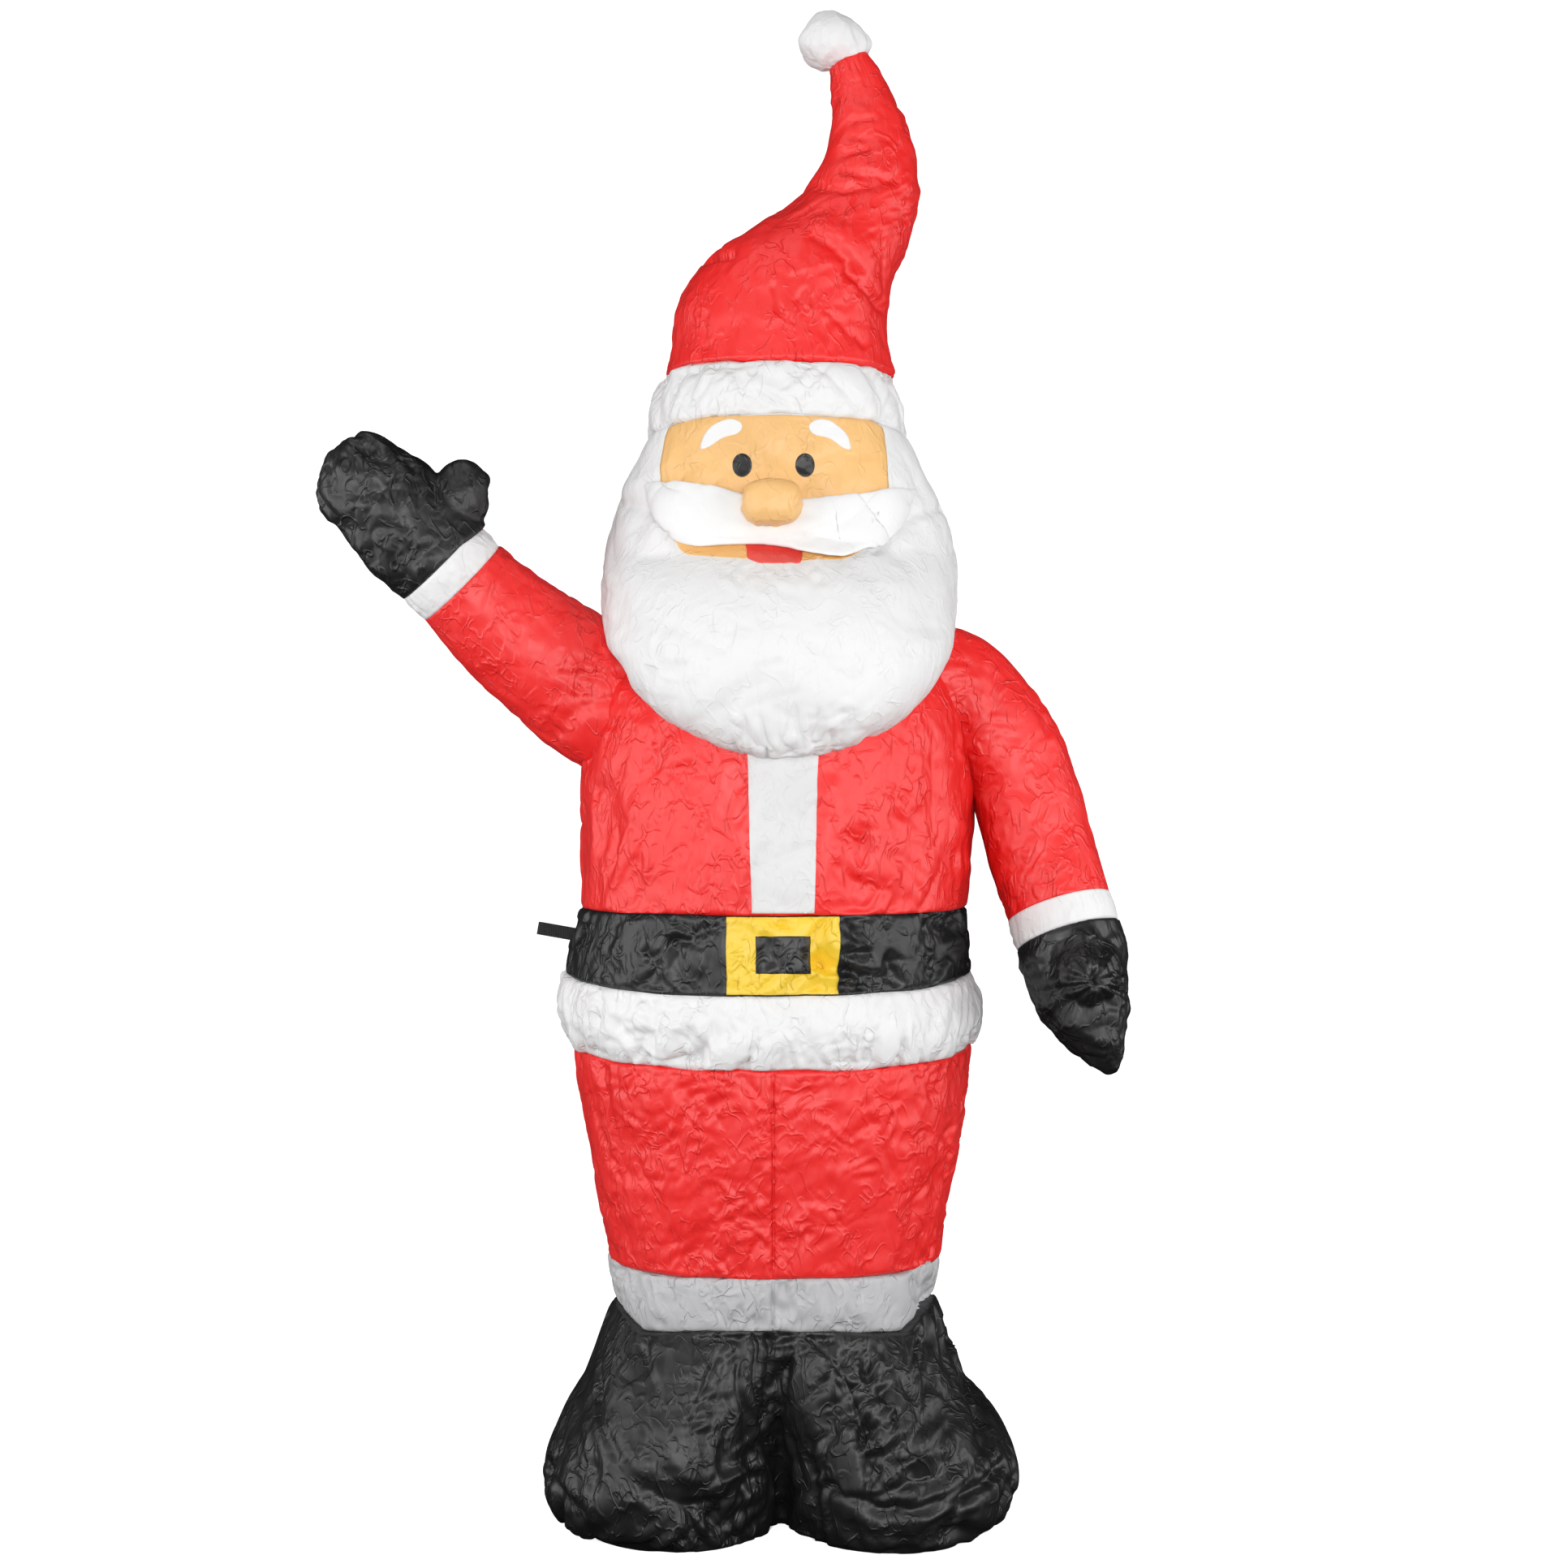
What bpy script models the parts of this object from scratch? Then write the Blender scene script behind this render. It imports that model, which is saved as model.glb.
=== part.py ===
"""An inflatable Father Christmas that stands in a garden or a hall and waves.

The real figure is a fabric skin that air holds up. Each sewn section is a closed solid here, and the
sections meet at their seams: boots, trouser hem, trousers, coat trim, belt with its buckle, coat with
its front band, sleeves, cuffs, mittens, beard, face, moustache, nose, hat brim, hat and bobble. A loop
of webbing for a guy rope stands out on each side of the belt.

Z is up, the figure looks along -Y, its right hand is at -X, and the origin is on the ground under it.
"""

import math
from collections import namedtuple

import bmesh
import bpy
from mathutils import Vector

# Driving sizes, in metres
FIGURE_HEIGHT = 2.40
SEAM_GAP = 0.0003
BELT_WEBBING_WIDTH = 0.020
BELT_WEBBING_THICKNESS = 0.0018
TETHER_LOOP_LENGTH = 0.060
TETHER_LOOP_OPENING = 0.009
BUCKLE_WIDTH = 0.170
BUCKLE_WINDOW_WIDTH = 0.082
BUCKLE_WINDOW_HEIGHT = 0.056
PANEL_DEPTH = 0.022
BUCKLE_EXTRA_DEPTH = 0.012
CUTTER_REACH = 0.1
FRONT_BAND_FOOT_WIDTH = 0.094
FRONT_BAND_TOP_WIDTH = 0.112

# Proportions of the free form are thousandths of the figure's height
MILLI = FIGURE_HEIGHT / 1000.0

BODY_SIDES = 36
LIMB_SIDES = 28
BOBBLE_SIDES = 24
THUMB_SIDES = 16
BODY_SQUARENESS = 2.2
BOOT_SQUARENESS = 2.5
HEAD_SQUARENESS = 2.15

UP = Vector((0.0, 0.0, 1.0))
BACK = Vector((0.0, 1.0, 0.0))
RIGHT_OF_PICTURE = Vector((1.0, 0.0, 0.0))

# A seam runs round the body at a height, and leans: lean is its rise for each length towards the back
Seam = namedtuple("Seam", "height lean")
HEM_FOOT = Seam(135.4, 0.0)
HEM_TOP = Seam(168.8, 0.0)
TRIM_FOOT = Seam(310.4, 0.07)
BELT_FOOT = Seam(359.2, 0.085)
BELT_TOP = Seam(400.8, 0.01)
COAT_TOP = Seam(600.0, 0.0)
BRIM_FOOT = Seam(710.4, -0.10)
BRIM_TOP = Seam(753.3, -0.02)

# The barrel of the body: height, half width, half depth, drift of its middle across the picture
BARREL = (
    (135.4, 104.2, 94.0, -0.6),
    (168.8, 109.2, 98.5, -0.7),
    (188.0, 111.9, 101.0, -0.7),
    (220.0, 117.3, 105.5, -0.7),
    (253.0, 123.3, 110.0, -0.8),
    (285.0, 128.7, 114.0, -1.2),
    (310.4, 131.5, 116.0, -1.8),
    (359.2, 134.4, 118.0, -5.0),
    (400.8, 127.7, 115.0, -1.0),
    (437.5, 130.6, 116.0, 1.8),
    (480.0, 130.6, 115.0, 2.2),
    (512.0, 128.0, 111.0, 2.2),
    (540.0, 120.5, 103.0, 2.0),
    (564.0, 107.0, 92.0, 2.0),
    (584.0, 87.0, 76.0, 2.0),
    (600.0, 58.0, 54.0, 2.0),
)
TRIM_BULGE = 7.4

# The boots: height, half width, middle, reach to the front, reach to the back, depth of the front cleft
BOOTS = (
    (0.0, 134.0, 4.2, 143.0, 102.0, 0.69),
    (5.0, 147.0, 4.2, 152.0, 113.0, 0.67),
    (18.5, 155.0, 4.0, 159.0, 119.5, 0.64),
    (35.5, 155.5, 3.8, 162.0, 121.0, 0.60),
    (54.0, 148.5, 3.2, 158.0, 119.0, 0.56),
    (71.0, 139.0, 1.8, 149.0, 115.0, 0.49),
    (87.5, 127.5, 0.6, 137.0, 110.5, 0.39),
    (104.0, 119.4, 0.3, 123.5, 104.0, 0.28),
    (121.0, 111.6, 0.0, 108.5, 100.0, 0.15),
    (135.4, 104.4, -0.6, 95.5, 94.5, 0.05),
)
CLEFT_HALF_ANGLE = math.radians(21.0)
BACK_CLEFT_SHARE = 0.35

# The head with its beard: height, half width, middle, front, back
HEAD = (
    (498.8, 13.0, 8.3, -124.0, -101.0),
    (504.0, 36.0, 8.0, -131.5, -80.0),
    (512.5, 57.0, 6.7, -137.5, -63.0),
    (525.0, 77.0, 5.8, -142.5, -46.0),
    (541.7, 93.5, 5.4, -145.8, -25.0),
    (558.3, 104.5, 5.0, -146.3, 0.0),
    (570.8, 111.0, 4.2, -144.6, 33.0),
    (583.3, 114.4, 3.8, -140.8, 71.0),
    (595.8, 116.3, 3.3, -134.2, 94.0),
    (608.3, 117.1, 3.3, -124.5, 102.0),
    (620.8, 117.7, 3.3, -109.0, 104.2),
    (631.3, 117.5, 3.3, -94.5, 103.8),
    (641.7, 116.3, 3.3, -90.5, 102.9),
    (658.3, 111.7, 3.3, -89.6, 100.0),
    (675.0, 105.0, 2.5, -88.8, 95.8),
    (691.7, 95.8, 2.1, -86.7, 89.6),
    (710.4, 85.4, 1.7, -84.2, 82.5),
)

# The hat: height, half width, half depth, sideways lean
HAT = (
    (753.3, 76.5, 71.0, 3.5),
    (772.5, 72.3, 67.0, 3.5),
    (789.0, 71.5, 64.5, 3.3),
    (805.0, 70.0, 62.0, 6.3),
    (821.0, 66.7, 58.5, 13.0),
    (837.5, 63.5, 52.0, 24.0),
    (853.8, 53.0, 43.0, 39.5),
    (870.0, 44.4, 37.5, 52.0),
    (886.3, 36.8, 33.0, 59.0),
    (902.5, 30.6, 28.5, 62.0),
    (918.8, 26.0, 25.0, 62.3),
    (935.0, 21.3, 21.0, 58.8),
    (951.3, 17.9, 17.9, 54.2),
    (967.0, 13.0, 13.5, 48.8),
)
HAT_END_TILT = 0.47
HAT_DRIFT_TO_BACK = 8.0

# The brim: share of its height, half width, half depth
BRIM_MIDDLE = 1.6
BRIM = (
    (0.0, 85.0, 84.0),
    (0.2, 85.8, 85.2),
    (0.42, 84.8, 84.4),
    (0.62, 82.8, 82.3),
    (0.82, 80.0, 78.5),
    (1.0, 76.2, 71.5),
)

# The bobble at the end of the hat: share of its length, radius, drift to the right-hand side
BOBBLE_LENGTH = 36.0
BOBBLE = (
    (0.0, 14.0, 0.0),
    (0.12, 19.0, 1.2),
    (0.32, 21.2, 3.5),
    (0.55, 20.8, 4.8),
    (0.76, 17.3, 5.5),
    (0.92, 10.3, 6.0),
    (1.0, 3.5, 6.0),
)

# An arm: its middle line across the picture, to the back and up, and its half thickness
RIGHT_ARM = (
    (-75.0, -8.0, 519.0, 48.0),
    (-115.0, -8.5, 540.5, 46.8),
    (-139.0, -10.0, 557.5, 44.3),
    (-163.0, -13.5, 575.0, 41.4),
    (-185.5, -18.5, 594.0, 37.9),
    (-206.3, -24.5, 614.8, 34.3),
)
LEFT_ARM = (
    (84.0, -8.0, 560.0, 32.0),
    (114.5, -8.0, 548.5, 37.0),
    (141.5, -9.0, 523.5, 36.0),
    (158.5, -11.0, 496.5, 35.6),
    (167.8, -14.5, 469.0, 35.4),
    (175.8, -20.7, 438.0, 35.0),
    (186.5, -32.0, 401.0, 34.7),
)
CUFF_LENGTH = 19.3
CUFF_HALF_THICKNESS = 34.2
CUFF_BULGE = 0.8

# A mitten: share of its length, half across the picture, half depth, drift across the picture
RIGHT_MITTEN_LENGTH = 101.5
RIGHT_MITTEN = (
    (0.0, 34.6, 34.2, 0.0),
    (0.18, 37.0, 33.0, 1.0),
    (0.4, 37.2, 30.0, 1.5),
    (0.6, 35.4, 25.0, 2.8),
    (0.78, 33.0, 18.5, 1.0),
    (0.9, 25.3, 11.5, 3.5),
    (0.97, 15.5, 6.5, 5.5),
    (1.0, 7.0, 3.5, 6.5),
)
LEFT_MITTEN_LENGTH = 99.0
LEFT_MITTEN = (
    (0.0, 34.8, 34.6, 0.0),
    (0.18, 33.8, 36.0, 2.6),
    (0.42, 29.2, 36.0, 5.6),
    (0.62, 23.4, 33.0, 5.4),
    (0.8, 16.8, 26.0, 4.0),
    (0.94, 8.8, 15.0, 2.2),
    (1.0, 3.5, 6.0, 1.4),
)
# A thumb: how far along the mitten, how far out from its middle line, radius
RIGHT_THUMB = (
    (22.0, 20.0, 19.0),
    (22.5, 34.0, 19.0),
    (24.8, 46.0, 17.0),
    (27.8, 55.0, 11.5),
    (29.8, 61.0, 3.2),
)
LEFT_THUMB = (
    (30.0, 20.0, 20.0),
    (36.0, 33.0, 18.5),
    (42.0, 43.0, 14.0),
    (46.0, 49.0, 8.0),
    (47.0, 52.0, 2.8),
)

# The face
FACE_HALF_WIDTH_TOP = 67.0
FACE_HALF_WIDTH = 72.5
FACE_FOOT = 621.5
FACE_CHEEK = 648.0
FACE_DEPTH = -48.0
FACE_TUCK = 20.0
NOSE_MIDDLE = Vector((-1.4, -103.0, 660.0))
NOSE_HALF_SIZE = Vector((19.0, 18.5, 14.8))
MOUSTACHE_HALF_SPAN = 88.5
MOUSTACHE_MIDDLE = 2.2
MOUSTACHE_TIP_HEIGHT = 674.5
MOUSTACHE_TOP_DIP = 10.0
MOUSTACHE_DROP = 45.5
MOUSTACHE_TIP_DROP = 3.0
MOUSTACHE_TILT = -0.1
MOUSTACHE_HALF_THICKNESS = 4.2
MOUSTACHE_COLUMNS = 17
MOUSTACHE_SECTION_SIDES = 10

# Where panels and tether loops sit
PANEL_MIDDLE = 5.3
FRONT_BAND_TOP = Seam(535.0, 0.0)
FRONT_BAND_TUCK = 12.0
TETHER_EMBED = 0.010
# A tether loop: the side of the belt it is on, how far back, its height, and its heading and rise
RIGHT_TETHER = (-1.0, 0.0, 382.0, math.radians(180.0), math.radians(10.0))
LEFT_TETHER = (1.0, 20.0, 378.5, math.radians(85.0), 0.0)


def clear_scene():
    """Starts from an empty scene."""
    for item in list(bpy.data.objects):
        bpy.data.objects.remove(item, do_unlink=True)


def fabric(name, colour, roughness):
    """A woven polyester of one colour."""
    material = bpy.data.materials.new(name)
    material.use_nodes = True
    material.diffuse_color = (*colour, 1.0)
    shader = material.node_tree.nodes["Principled BSDF"]
    shader.inputs["Base Color"].default_value = (*colour, 1.0)
    shader.inputs["Roughness"].default_value = roughness
    shader.inputs["Metallic"].default_value = 0.0
    return material


def through(stations, at):
    """Reads a table at a value of its first column, on a smooth curve through its rows."""
    last = len(stations) - 1
    k = next((i for i in range(last) if at <= stations[i + 1][0]), last - 1)
    before, here = stations[max(k - 1, 0)], stations[k]
    there, after = stations[k + 1], stations[min(k + 2, last)]
    span = there[0] - here[0]
    t = min(max((at - here[0]) / span, 0.0), 1.0)
    values = []
    for low, a, b, high in zip(before[1:], here[1:], there[1:], after[1:]):
        slope_a = (b - low) / (there[0] - before[0]) * span
        slope_b = (high - a) / (after[0] - here[0]) * span
        values.append(
            a * (2 * t**3 - 3 * t**2 + 1)
            + slope_a * (t**3 - 2 * t**2 + t)
            + b * (3 * t**2 - 2 * t**3)
            + slope_b * (t**3 - t**2)
        )
    return values


def spaced(low, high, count):
    """Evenly spaced values from low to high."""
    return [low + (high - low) * i / (count - 1) for i in range(count)]


def oval(middle, wide, thin, half_wide, half_thin, squareness=2.0, sides=BODY_SIDES):
    """A loop of points round a middle. A squareness of 2 is an ellipse, and more is squarer."""
    loop = []
    for i in range(sides):
        angle = 2.0 * math.pi * i / sides
        c, s = math.cos(angle), math.sin(angle)
        reach = (abs(c) ** squareness + abs(s) ** squareness) ** (-1.0 / squareness)
        loop.append(middle + wide * (half_wide * reach * c) + thin * (half_thin * reach * s))
    return loop


def skin(name, loops, material):
    """A closed solid through loops of points, each bridged to the next, with both ends filled."""
    shell = bmesh.new()
    edges = []
    for loop in loops:
        corners = [shell.verts.new(point) for point in loop]
        ring = [shell.edges.new((corners[i - 1], corners[i])) for i in range(len(corners))]
        edges.append(ring)
    for lower, upper in zip(edges, edges[1:]):
        bmesh.ops.bridge_loops(shell, edges=lower + upper)
    bmesh.ops.contextual_create(shell, geom=edges[0])
    bmesh.ops.contextual_create(shell, geom=edges[-1])
    bmesh.ops.recalc_face_normals(shell, faces=shell.faces[:])
    bmesh.ops.triangulate(shell, faces=shell.faces[:], quad_method="FIXED")
    return solid_from(name, shell, material)


def solid_from(name, shell, material):
    """Makes an object of a finished shell."""
    mesh = bpy.data.meshes.new(name)
    shell.to_mesh(mesh)
    shell.free()
    mesh.shade_smooth()
    mesh.set_sharp_from_angle(angle=math.radians(50.0))
    mesh.materials.append(material)
    solid = bpy.data.objects.new(name, mesh)
    bpy.context.scene.collection.objects.link(solid)
    return solid


def as_cutter(tool):
    """Hides a solid that only shapes others."""
    tool.hide_render = True
    tool.display_type = "WIRE"
    return tool


def cutter_like(solid):
    """A copy of an uncut solid, grown all round by the seam gap, that makes room for it in its neighbours."""
    tool = bpy.data.objects.new(solid.name + "_room", solid.data.copy())
    bpy.context.scene.collection.objects.link(tool)
    swell = tool.modifiers.new("swell", "DISPLACE")
    swell.direction = "NORMAL"
    swell.mid_level = 0.0
    swell.strength = SEAM_GAP
    return as_cutter(tool)


def combine(solid, tool, operation):
    """Cuts a solid with a tool, joins it to it, or keeps what both share."""
    step = solid.modifiers.new(operation.lower(), "BOOLEAN")
    step.operation = operation
    step.solver = "EXACT"
    step.object = tool
    return solid


def level_loop(seam, half_width, half_depth, middle=0.0, toward_back=0.0, squareness=BODY_SQUARENESS):
    """A loop round the body at a seam, from thousandths of the height."""
    along_lean = BACK + UP * seam.lean
    return oval(
        Vector((middle, toward_back, seam.height)) * MILLI,
        RIGHT_OF_PICTURE,
        along_lean,
        half_width * MILLI,
        half_depth * MILLI,
        squareness,
    )


def between(foot, top, share):
    """The seam at a share of the way from one seam to another."""
    return Seam(
        foot.height + (top.height - foot.height) * share,
        foot.lean + (top.lean - foot.lean) * share,
    )


def lifted(loop, distance):
    """The same loop, moved up by a distance."""
    return [point + UP * distance for point in loop]


def end_gaps(loops):
    """Draws both ends of a section in by half of the seam gap."""
    return [lifted(loops[0], SEAM_GAP / 2)] + loops[1:-1] + [lifted(loops[-1], -SEAM_GAP / 2)]


def barrel_loops(foot, top, rows, bulge=0.0):
    """Loops of one section of the body, which bulges between its seams."""
    loops = []
    for share in spaced(0.0, 1.0, rows):
        seam = between(foot, top, share)
        half_width, half_depth, middle = through(BARREL, seam.height)
        swell = bulge * math.sin(math.pi * share) ** 0.7
        loops.append(level_loop(seam, half_width + swell, half_depth + swell, middle))
    return end_gaps(loops)


def boots_loops():
    """Two round boots sewn side by side: an oval with a cleft at the front and a lesser one behind."""
    loops = []
    for height, half_width, middle, front, back, cleft in BOOTS:
        loop = []
        for i in range(BODY_SIDES):
            angle = 2.0 * math.pi * i / BODY_SIDES
            c, s = math.cos(angle), math.sin(angle)
            reach = front if s < 0 else back
            radius = (
                (abs(c) / half_width) ** BOOT_SQUARENESS + (abs(s) / reach) ** BOOT_SQUARENESS
            ) ** (-1.0 / BOOT_SQUARENESS)
            off_middle = math.acos(min(abs(s), 1.0)) / CLEFT_HALF_ANGLE
            depth = cleft if s < 0 else cleft * BACK_CLEFT_SHARE
            radius *= 1.0 - depth * math.exp(-(off_middle**1.5))
            loop.append(Vector((middle + radius * c, radius * s, height)) * MILLI)
        loops.append(loop)
    return loops[:-1] + [lifted(loops[-1], -SEAM_GAP / 2)]


def head_loops():
    """Loops of the head and its beard, which bulges forward over the chest."""
    loops = []
    for height, half_width, middle, front, back in HEAD:
        lean = BRIM_FOOT.lean * min(max((height - FACE_CHEEK) / (BRIM_FOOT.height - FACE_CHEEK), 0.0), 1.0)
        loops.append(
            level_loop(
                Seam(height, lean),
                half_width,
                (back - front) / 2,
                middle,
                (back + front) / 2,
                HEAD_SQUARENESS,
            )
        )
    return end_gaps(loops)


def brim_loops():
    """The white roll round the hat."""
    loops = []
    for share, half_width, half_depth in BRIM:
        seam = between(BRIM_FOOT, BRIM_TOP, share)
        loops.append(level_loop(seam, half_width, half_depth, BRIM_MIDDLE))
    return end_gaps(loops)


def hat_loops():
    """The hat, which narrows, leans to one side and curls back at its tip."""
    loops = []
    foot, tip = HAT[0][0], HAT[-1][0]
    for height, half_width, half_depth, aside in HAT:
        share = (height - foot) / (tip - foot)
        wide = RIGHT_OF_PICTURE + UP * (HAT_END_TILT * share**4)
        thin = BACK + UP * (BRIM_TOP.lean * (1.0 - share))
        middle = Vector((aside, HAT_DRIFT_TO_BACK * share**2, height)) * MILLI
        loops.append(oval(middle, wide, thin, half_width * MILLI, half_depth * MILLI, BODY_SQUARENESS))
    return end_gaps(loops)


def bobble_loops():
    """The white bobble, gathered on to the end of the hat."""
    height, _, _, aside = HAT[-1]
    root = Vector((aside, HAT_DRIFT_TO_BACK, height)) * MILLI
    wide = Vector((1.0, 0.0, HAT_END_TILT)).normalized()
    outward = wide.cross(BACK)
    outward *= math.copysign(1.0, outward.z)
    loops = []
    for share, radius, drift in BOBBLE:
        middle = root + outward * (share * BOBBLE_LENGTH * MILLI + SEAM_GAP) - wide * (drift * MILLI)
        loops.append(oval(middle, wide, BACK, radius * MILLI, radius * MILLI, sides=BOBBLE_SIDES))
    return loops


def arm_frame(arm):
    """Where an arm ends, the way it points there, the way across it in the picture, and the way behind it."""
    end = Vector(arm[-1][:3]) * MILLI
    along = (end - Vector(arm[-2][:3]) * MILLI).normalized()
    across = BACK.cross(along).normalized()
    return end, along, across, along.cross(across)


def sleeve_loops(arm):
    """A round sleeve along the arm's middle line, each loop square to that line."""
    loops = []
    for i, station in enumerate(arm):
        low, high = arm[max(i - 1, 0)], arm[min(i + 1, len(arm) - 1)]
        along = (Vector(high[:3]) - Vector(low[:3])).normalized()
        across = BACK.cross(along).normalized()
        radius = station[3] * MILLI
        middle = Vector(station[:3]) * MILLI
        loops.append(oval(middle, across, along.cross(across), radius, radius, sides=LIMB_SIDES))
    return loops


def cuff_loops(arm):
    """The white cuff between sleeve and mitten, slightly full."""
    wrist, along, across, behind = arm_frame(arm)
    wrist_radius = arm[-1][3]
    loops = []
    for share in spaced(0.0, 1.0, 3):
        radius = wrist_radius + (CUFF_HALF_THICKNESS - wrist_radius) * share
        radius += math.sin(math.pi * share) * CUFF_BULGE
        at = wrist + along * (SEAM_GAP + share * (CUFF_LENGTH * MILLI - SEAM_GAP))
        loops.append(oval(at, across, behind, radius * MILLI, radius * MILLI, sides=LIMB_SIDES))
    return loops


def mitten_solid(name, arm, stations, length, thumb, thumb_side, material):
    """A mitten that starts at the cuff, with its thumb joined on the given side of it."""
    wrist, along, across, behind = arm_frame(arm)
    root = wrist + along * (CUFF_LENGTH * MILLI + SEAM_GAP)
    palm_loops = []
    for share, half_across, half_depth, drift in stations:
        at = root + (along * (share * length) + across * drift) * MILLI
        ring = oval(at, across, behind, half_across * MILLI, half_depth * MILLI, sides=LIMB_SIDES)
        palm_loops.append(ring)
    thumb_way = along * (thumb[-1][0] - thumb[0][0]) + thumb_side * (thumb[-1][1] - thumb[0][1])
    flat = along.cross(thumb_side)
    broad = thumb_way.normalized().cross(flat)
    thumb_loops = []
    for far, out, radius in thumb:
        at = root + (along * far + thumb_side * out) * MILLI
        thumb_loops.append(oval(at, broad, flat, radius * MILLI, radius * MILLI, sides=THUMB_SIDES))
    mitten = skin(name, palm_loops, material)
    return combine(mitten, as_cutter(skin(name + "_thumb", thumb_loops, material)), "UNION")


def prism(name, outline, near, far, material):
    """A solid whose outline, given across and up in metres, runs from one depth to another."""
    loops = [[Vector((across, depth, up)) for across, up in outline] for depth in (near, far)]
    return skin(name, loops, material)


def face_outline(grow):
    """The skin-coloured panel: level at the brim, straight at the sides and round below."""
    top = BRIM_FOOT.height + FACE_TUCK
    points = [
        (-FACE_HALF_WIDTH_TOP * MILLI - grow, top * MILLI),
        (FACE_HALF_WIDTH_TOP * MILLI + grow, top * MILLI),
        (FACE_HALF_WIDTH * MILLI + grow, FACE_CHEEK * MILLI),
    ]
    for share in spaced(0.8, -0.8, 9):
        drop = math.sqrt(1.0 - share**2)
        height = FACE_CHEEK - (FACE_CHEEK - FACE_FOOT) * drop
        points.append((share * FACE_HALF_WIDTH * MILLI, height * MILLI - grow))
    points.append((-FACE_HALF_WIDTH * MILLI - grow, FACE_CHEEK * MILLI))
    return points


def front_of_head(across, height):
    """How far forward the head's surface is, at a place across the picture and up."""
    half_width, middle, front, back = through(HEAD, height)
    share = min(abs(across - middle) / half_width, 0.98)
    round_off = (1.0 - share**HEAD_SQUARENESS) ** (1.0 / HEAD_SQUARENESS)
    return (back + front) / 2 - (back - front) / 2 * round_off


def moustache_loops():
    """A padded moustache bent round the head: lens-shaped sections along its span."""
    loops = []
    for share in spaced(-0.985, 0.985, MOUSTACHE_COLUMNS):
        across = MOUSTACHE_MIDDLE + share * MOUSTACHE_HALF_SPAN
        line = MOUSTACHE_TIP_HEIGHT + MOUSTACHE_TILT * across * (1.0 - share**2)
        top = line - MOUSTACHE_TOP_DIP * (1.0 - share**2) ** 2
        foot = line - MOUSTACHE_DROP * (1.0 - abs(share) ** 2.8) ** 0.7 - MOUSTACHE_TIP_DROP
        loop = []
        for i in range(MOUSTACHE_SECTION_SIDES):
            angle = 2.0 * math.pi * i / MOUSTACHE_SECTION_SIDES
            height = (top + foot) / 2 + (top - foot) / 2 * math.sin(angle)
            bulge = MOUSTACHE_HALF_THICKNESS * (math.cos(angle) - 1.0) - 1.0
            loop.append(Vector((across, front_of_head(across, height) + bulge, height)) * MILLI)
        loops.append(loop)
    return loops


def nose_solid(material):
    """A round, stuffed nose."""
    ball = bmesh.new()
    bmesh.ops.create_uvsphere(ball, u_segments=16, v_segments=9, radius=MILLI)
    bmesh.ops.scale(ball, vec=NOSE_HALF_SIZE, verts=ball.verts[:])
    bmesh.ops.translate(ball, vec=NOSE_MIDDLE * MILLI, verts=ball.verts[:])
    return solid_from("nose", ball, material)


def box_outline(middle, foot, top, foot_width, top_width):
    """A rectangle or a taper, across and up, in metres."""
    return [
        (middle - foot_width / 2, foot),
        (middle + foot_width / 2, foot),
        (middle + top_width / 2, top),
        (middle - top_width / 2, top),
    ]


def belt_front():
    """The least depth of the belt's front, and how high its middle is."""
    middle = between(BELT_FOOT, BELT_TOP, 0.5)
    _, half_depth, _ = through(BARREL, middle.height)
    return -half_depth * MILLI, (middle.height - middle.lean * half_depth) * MILLI


def buckle_block(name, cloth, grow):
    """The block that marks off the buckle, with its window cut out, grown by grow."""
    front, middle_height = belt_front()
    reach = (BELT_TOP.height - BELT_FOOT.height) * MILLI
    outer = box_outline(
        PANEL_MIDDLE * MILLI,
        middle_height - reach,
        middle_height + reach,
        BUCKLE_WIDTH + 2 * grow,
        BUCKLE_WIDTH + 2 * grow,
    )
    inner = box_outline(
        PANEL_MIDDLE * MILLI,
        middle_height - BUCKLE_WINDOW_HEIGHT / 2 + grow,
        middle_height + BUCKLE_WINDOW_HEIGHT / 2 - grow,
        BUCKLE_WINDOW_WIDTH - 2 * grow,
        BUCKLE_WINDOW_WIDTH - 2 * grow,
    )
    ahead = front - CUTTER_REACH
    behind = front + PANEL_DEPTH + BUCKLE_EXTRA_DEPTH
    block = as_cutter(prism(name, outer, ahead, behind + grow, cloth))
    window_ends = (ahead - PANEL_DEPTH, behind + PANEL_DEPTH)
    window = as_cutter(prism(name + "_window", inner, *window_ends, cloth))
    return combine(block, window, "DIFFERENCE")


def front_band_block(name, cloth, grow):
    """The block that marks off the coat's front band, grown by grow."""
    _, half_depth, _ = through(BARREL, BELT_TOP.height)
    front = -half_depth * MILLI
    outline = box_outline(
        PANEL_MIDDLE * MILLI,
        (BELT_TOP.height - FRONT_BAND_TUCK) * MILLI,
        FRONT_BAND_TOP.height * MILLI + grow,
        FRONT_BAND_FOOT_WIDTH + 2 * grow,
        FRONT_BAND_TOP_WIDTH + 2 * grow,
    )
    return as_cutter(prism(name, outline, front - CUTTER_REACH, front + PANEL_DEPTH + grow, cloth))


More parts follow.
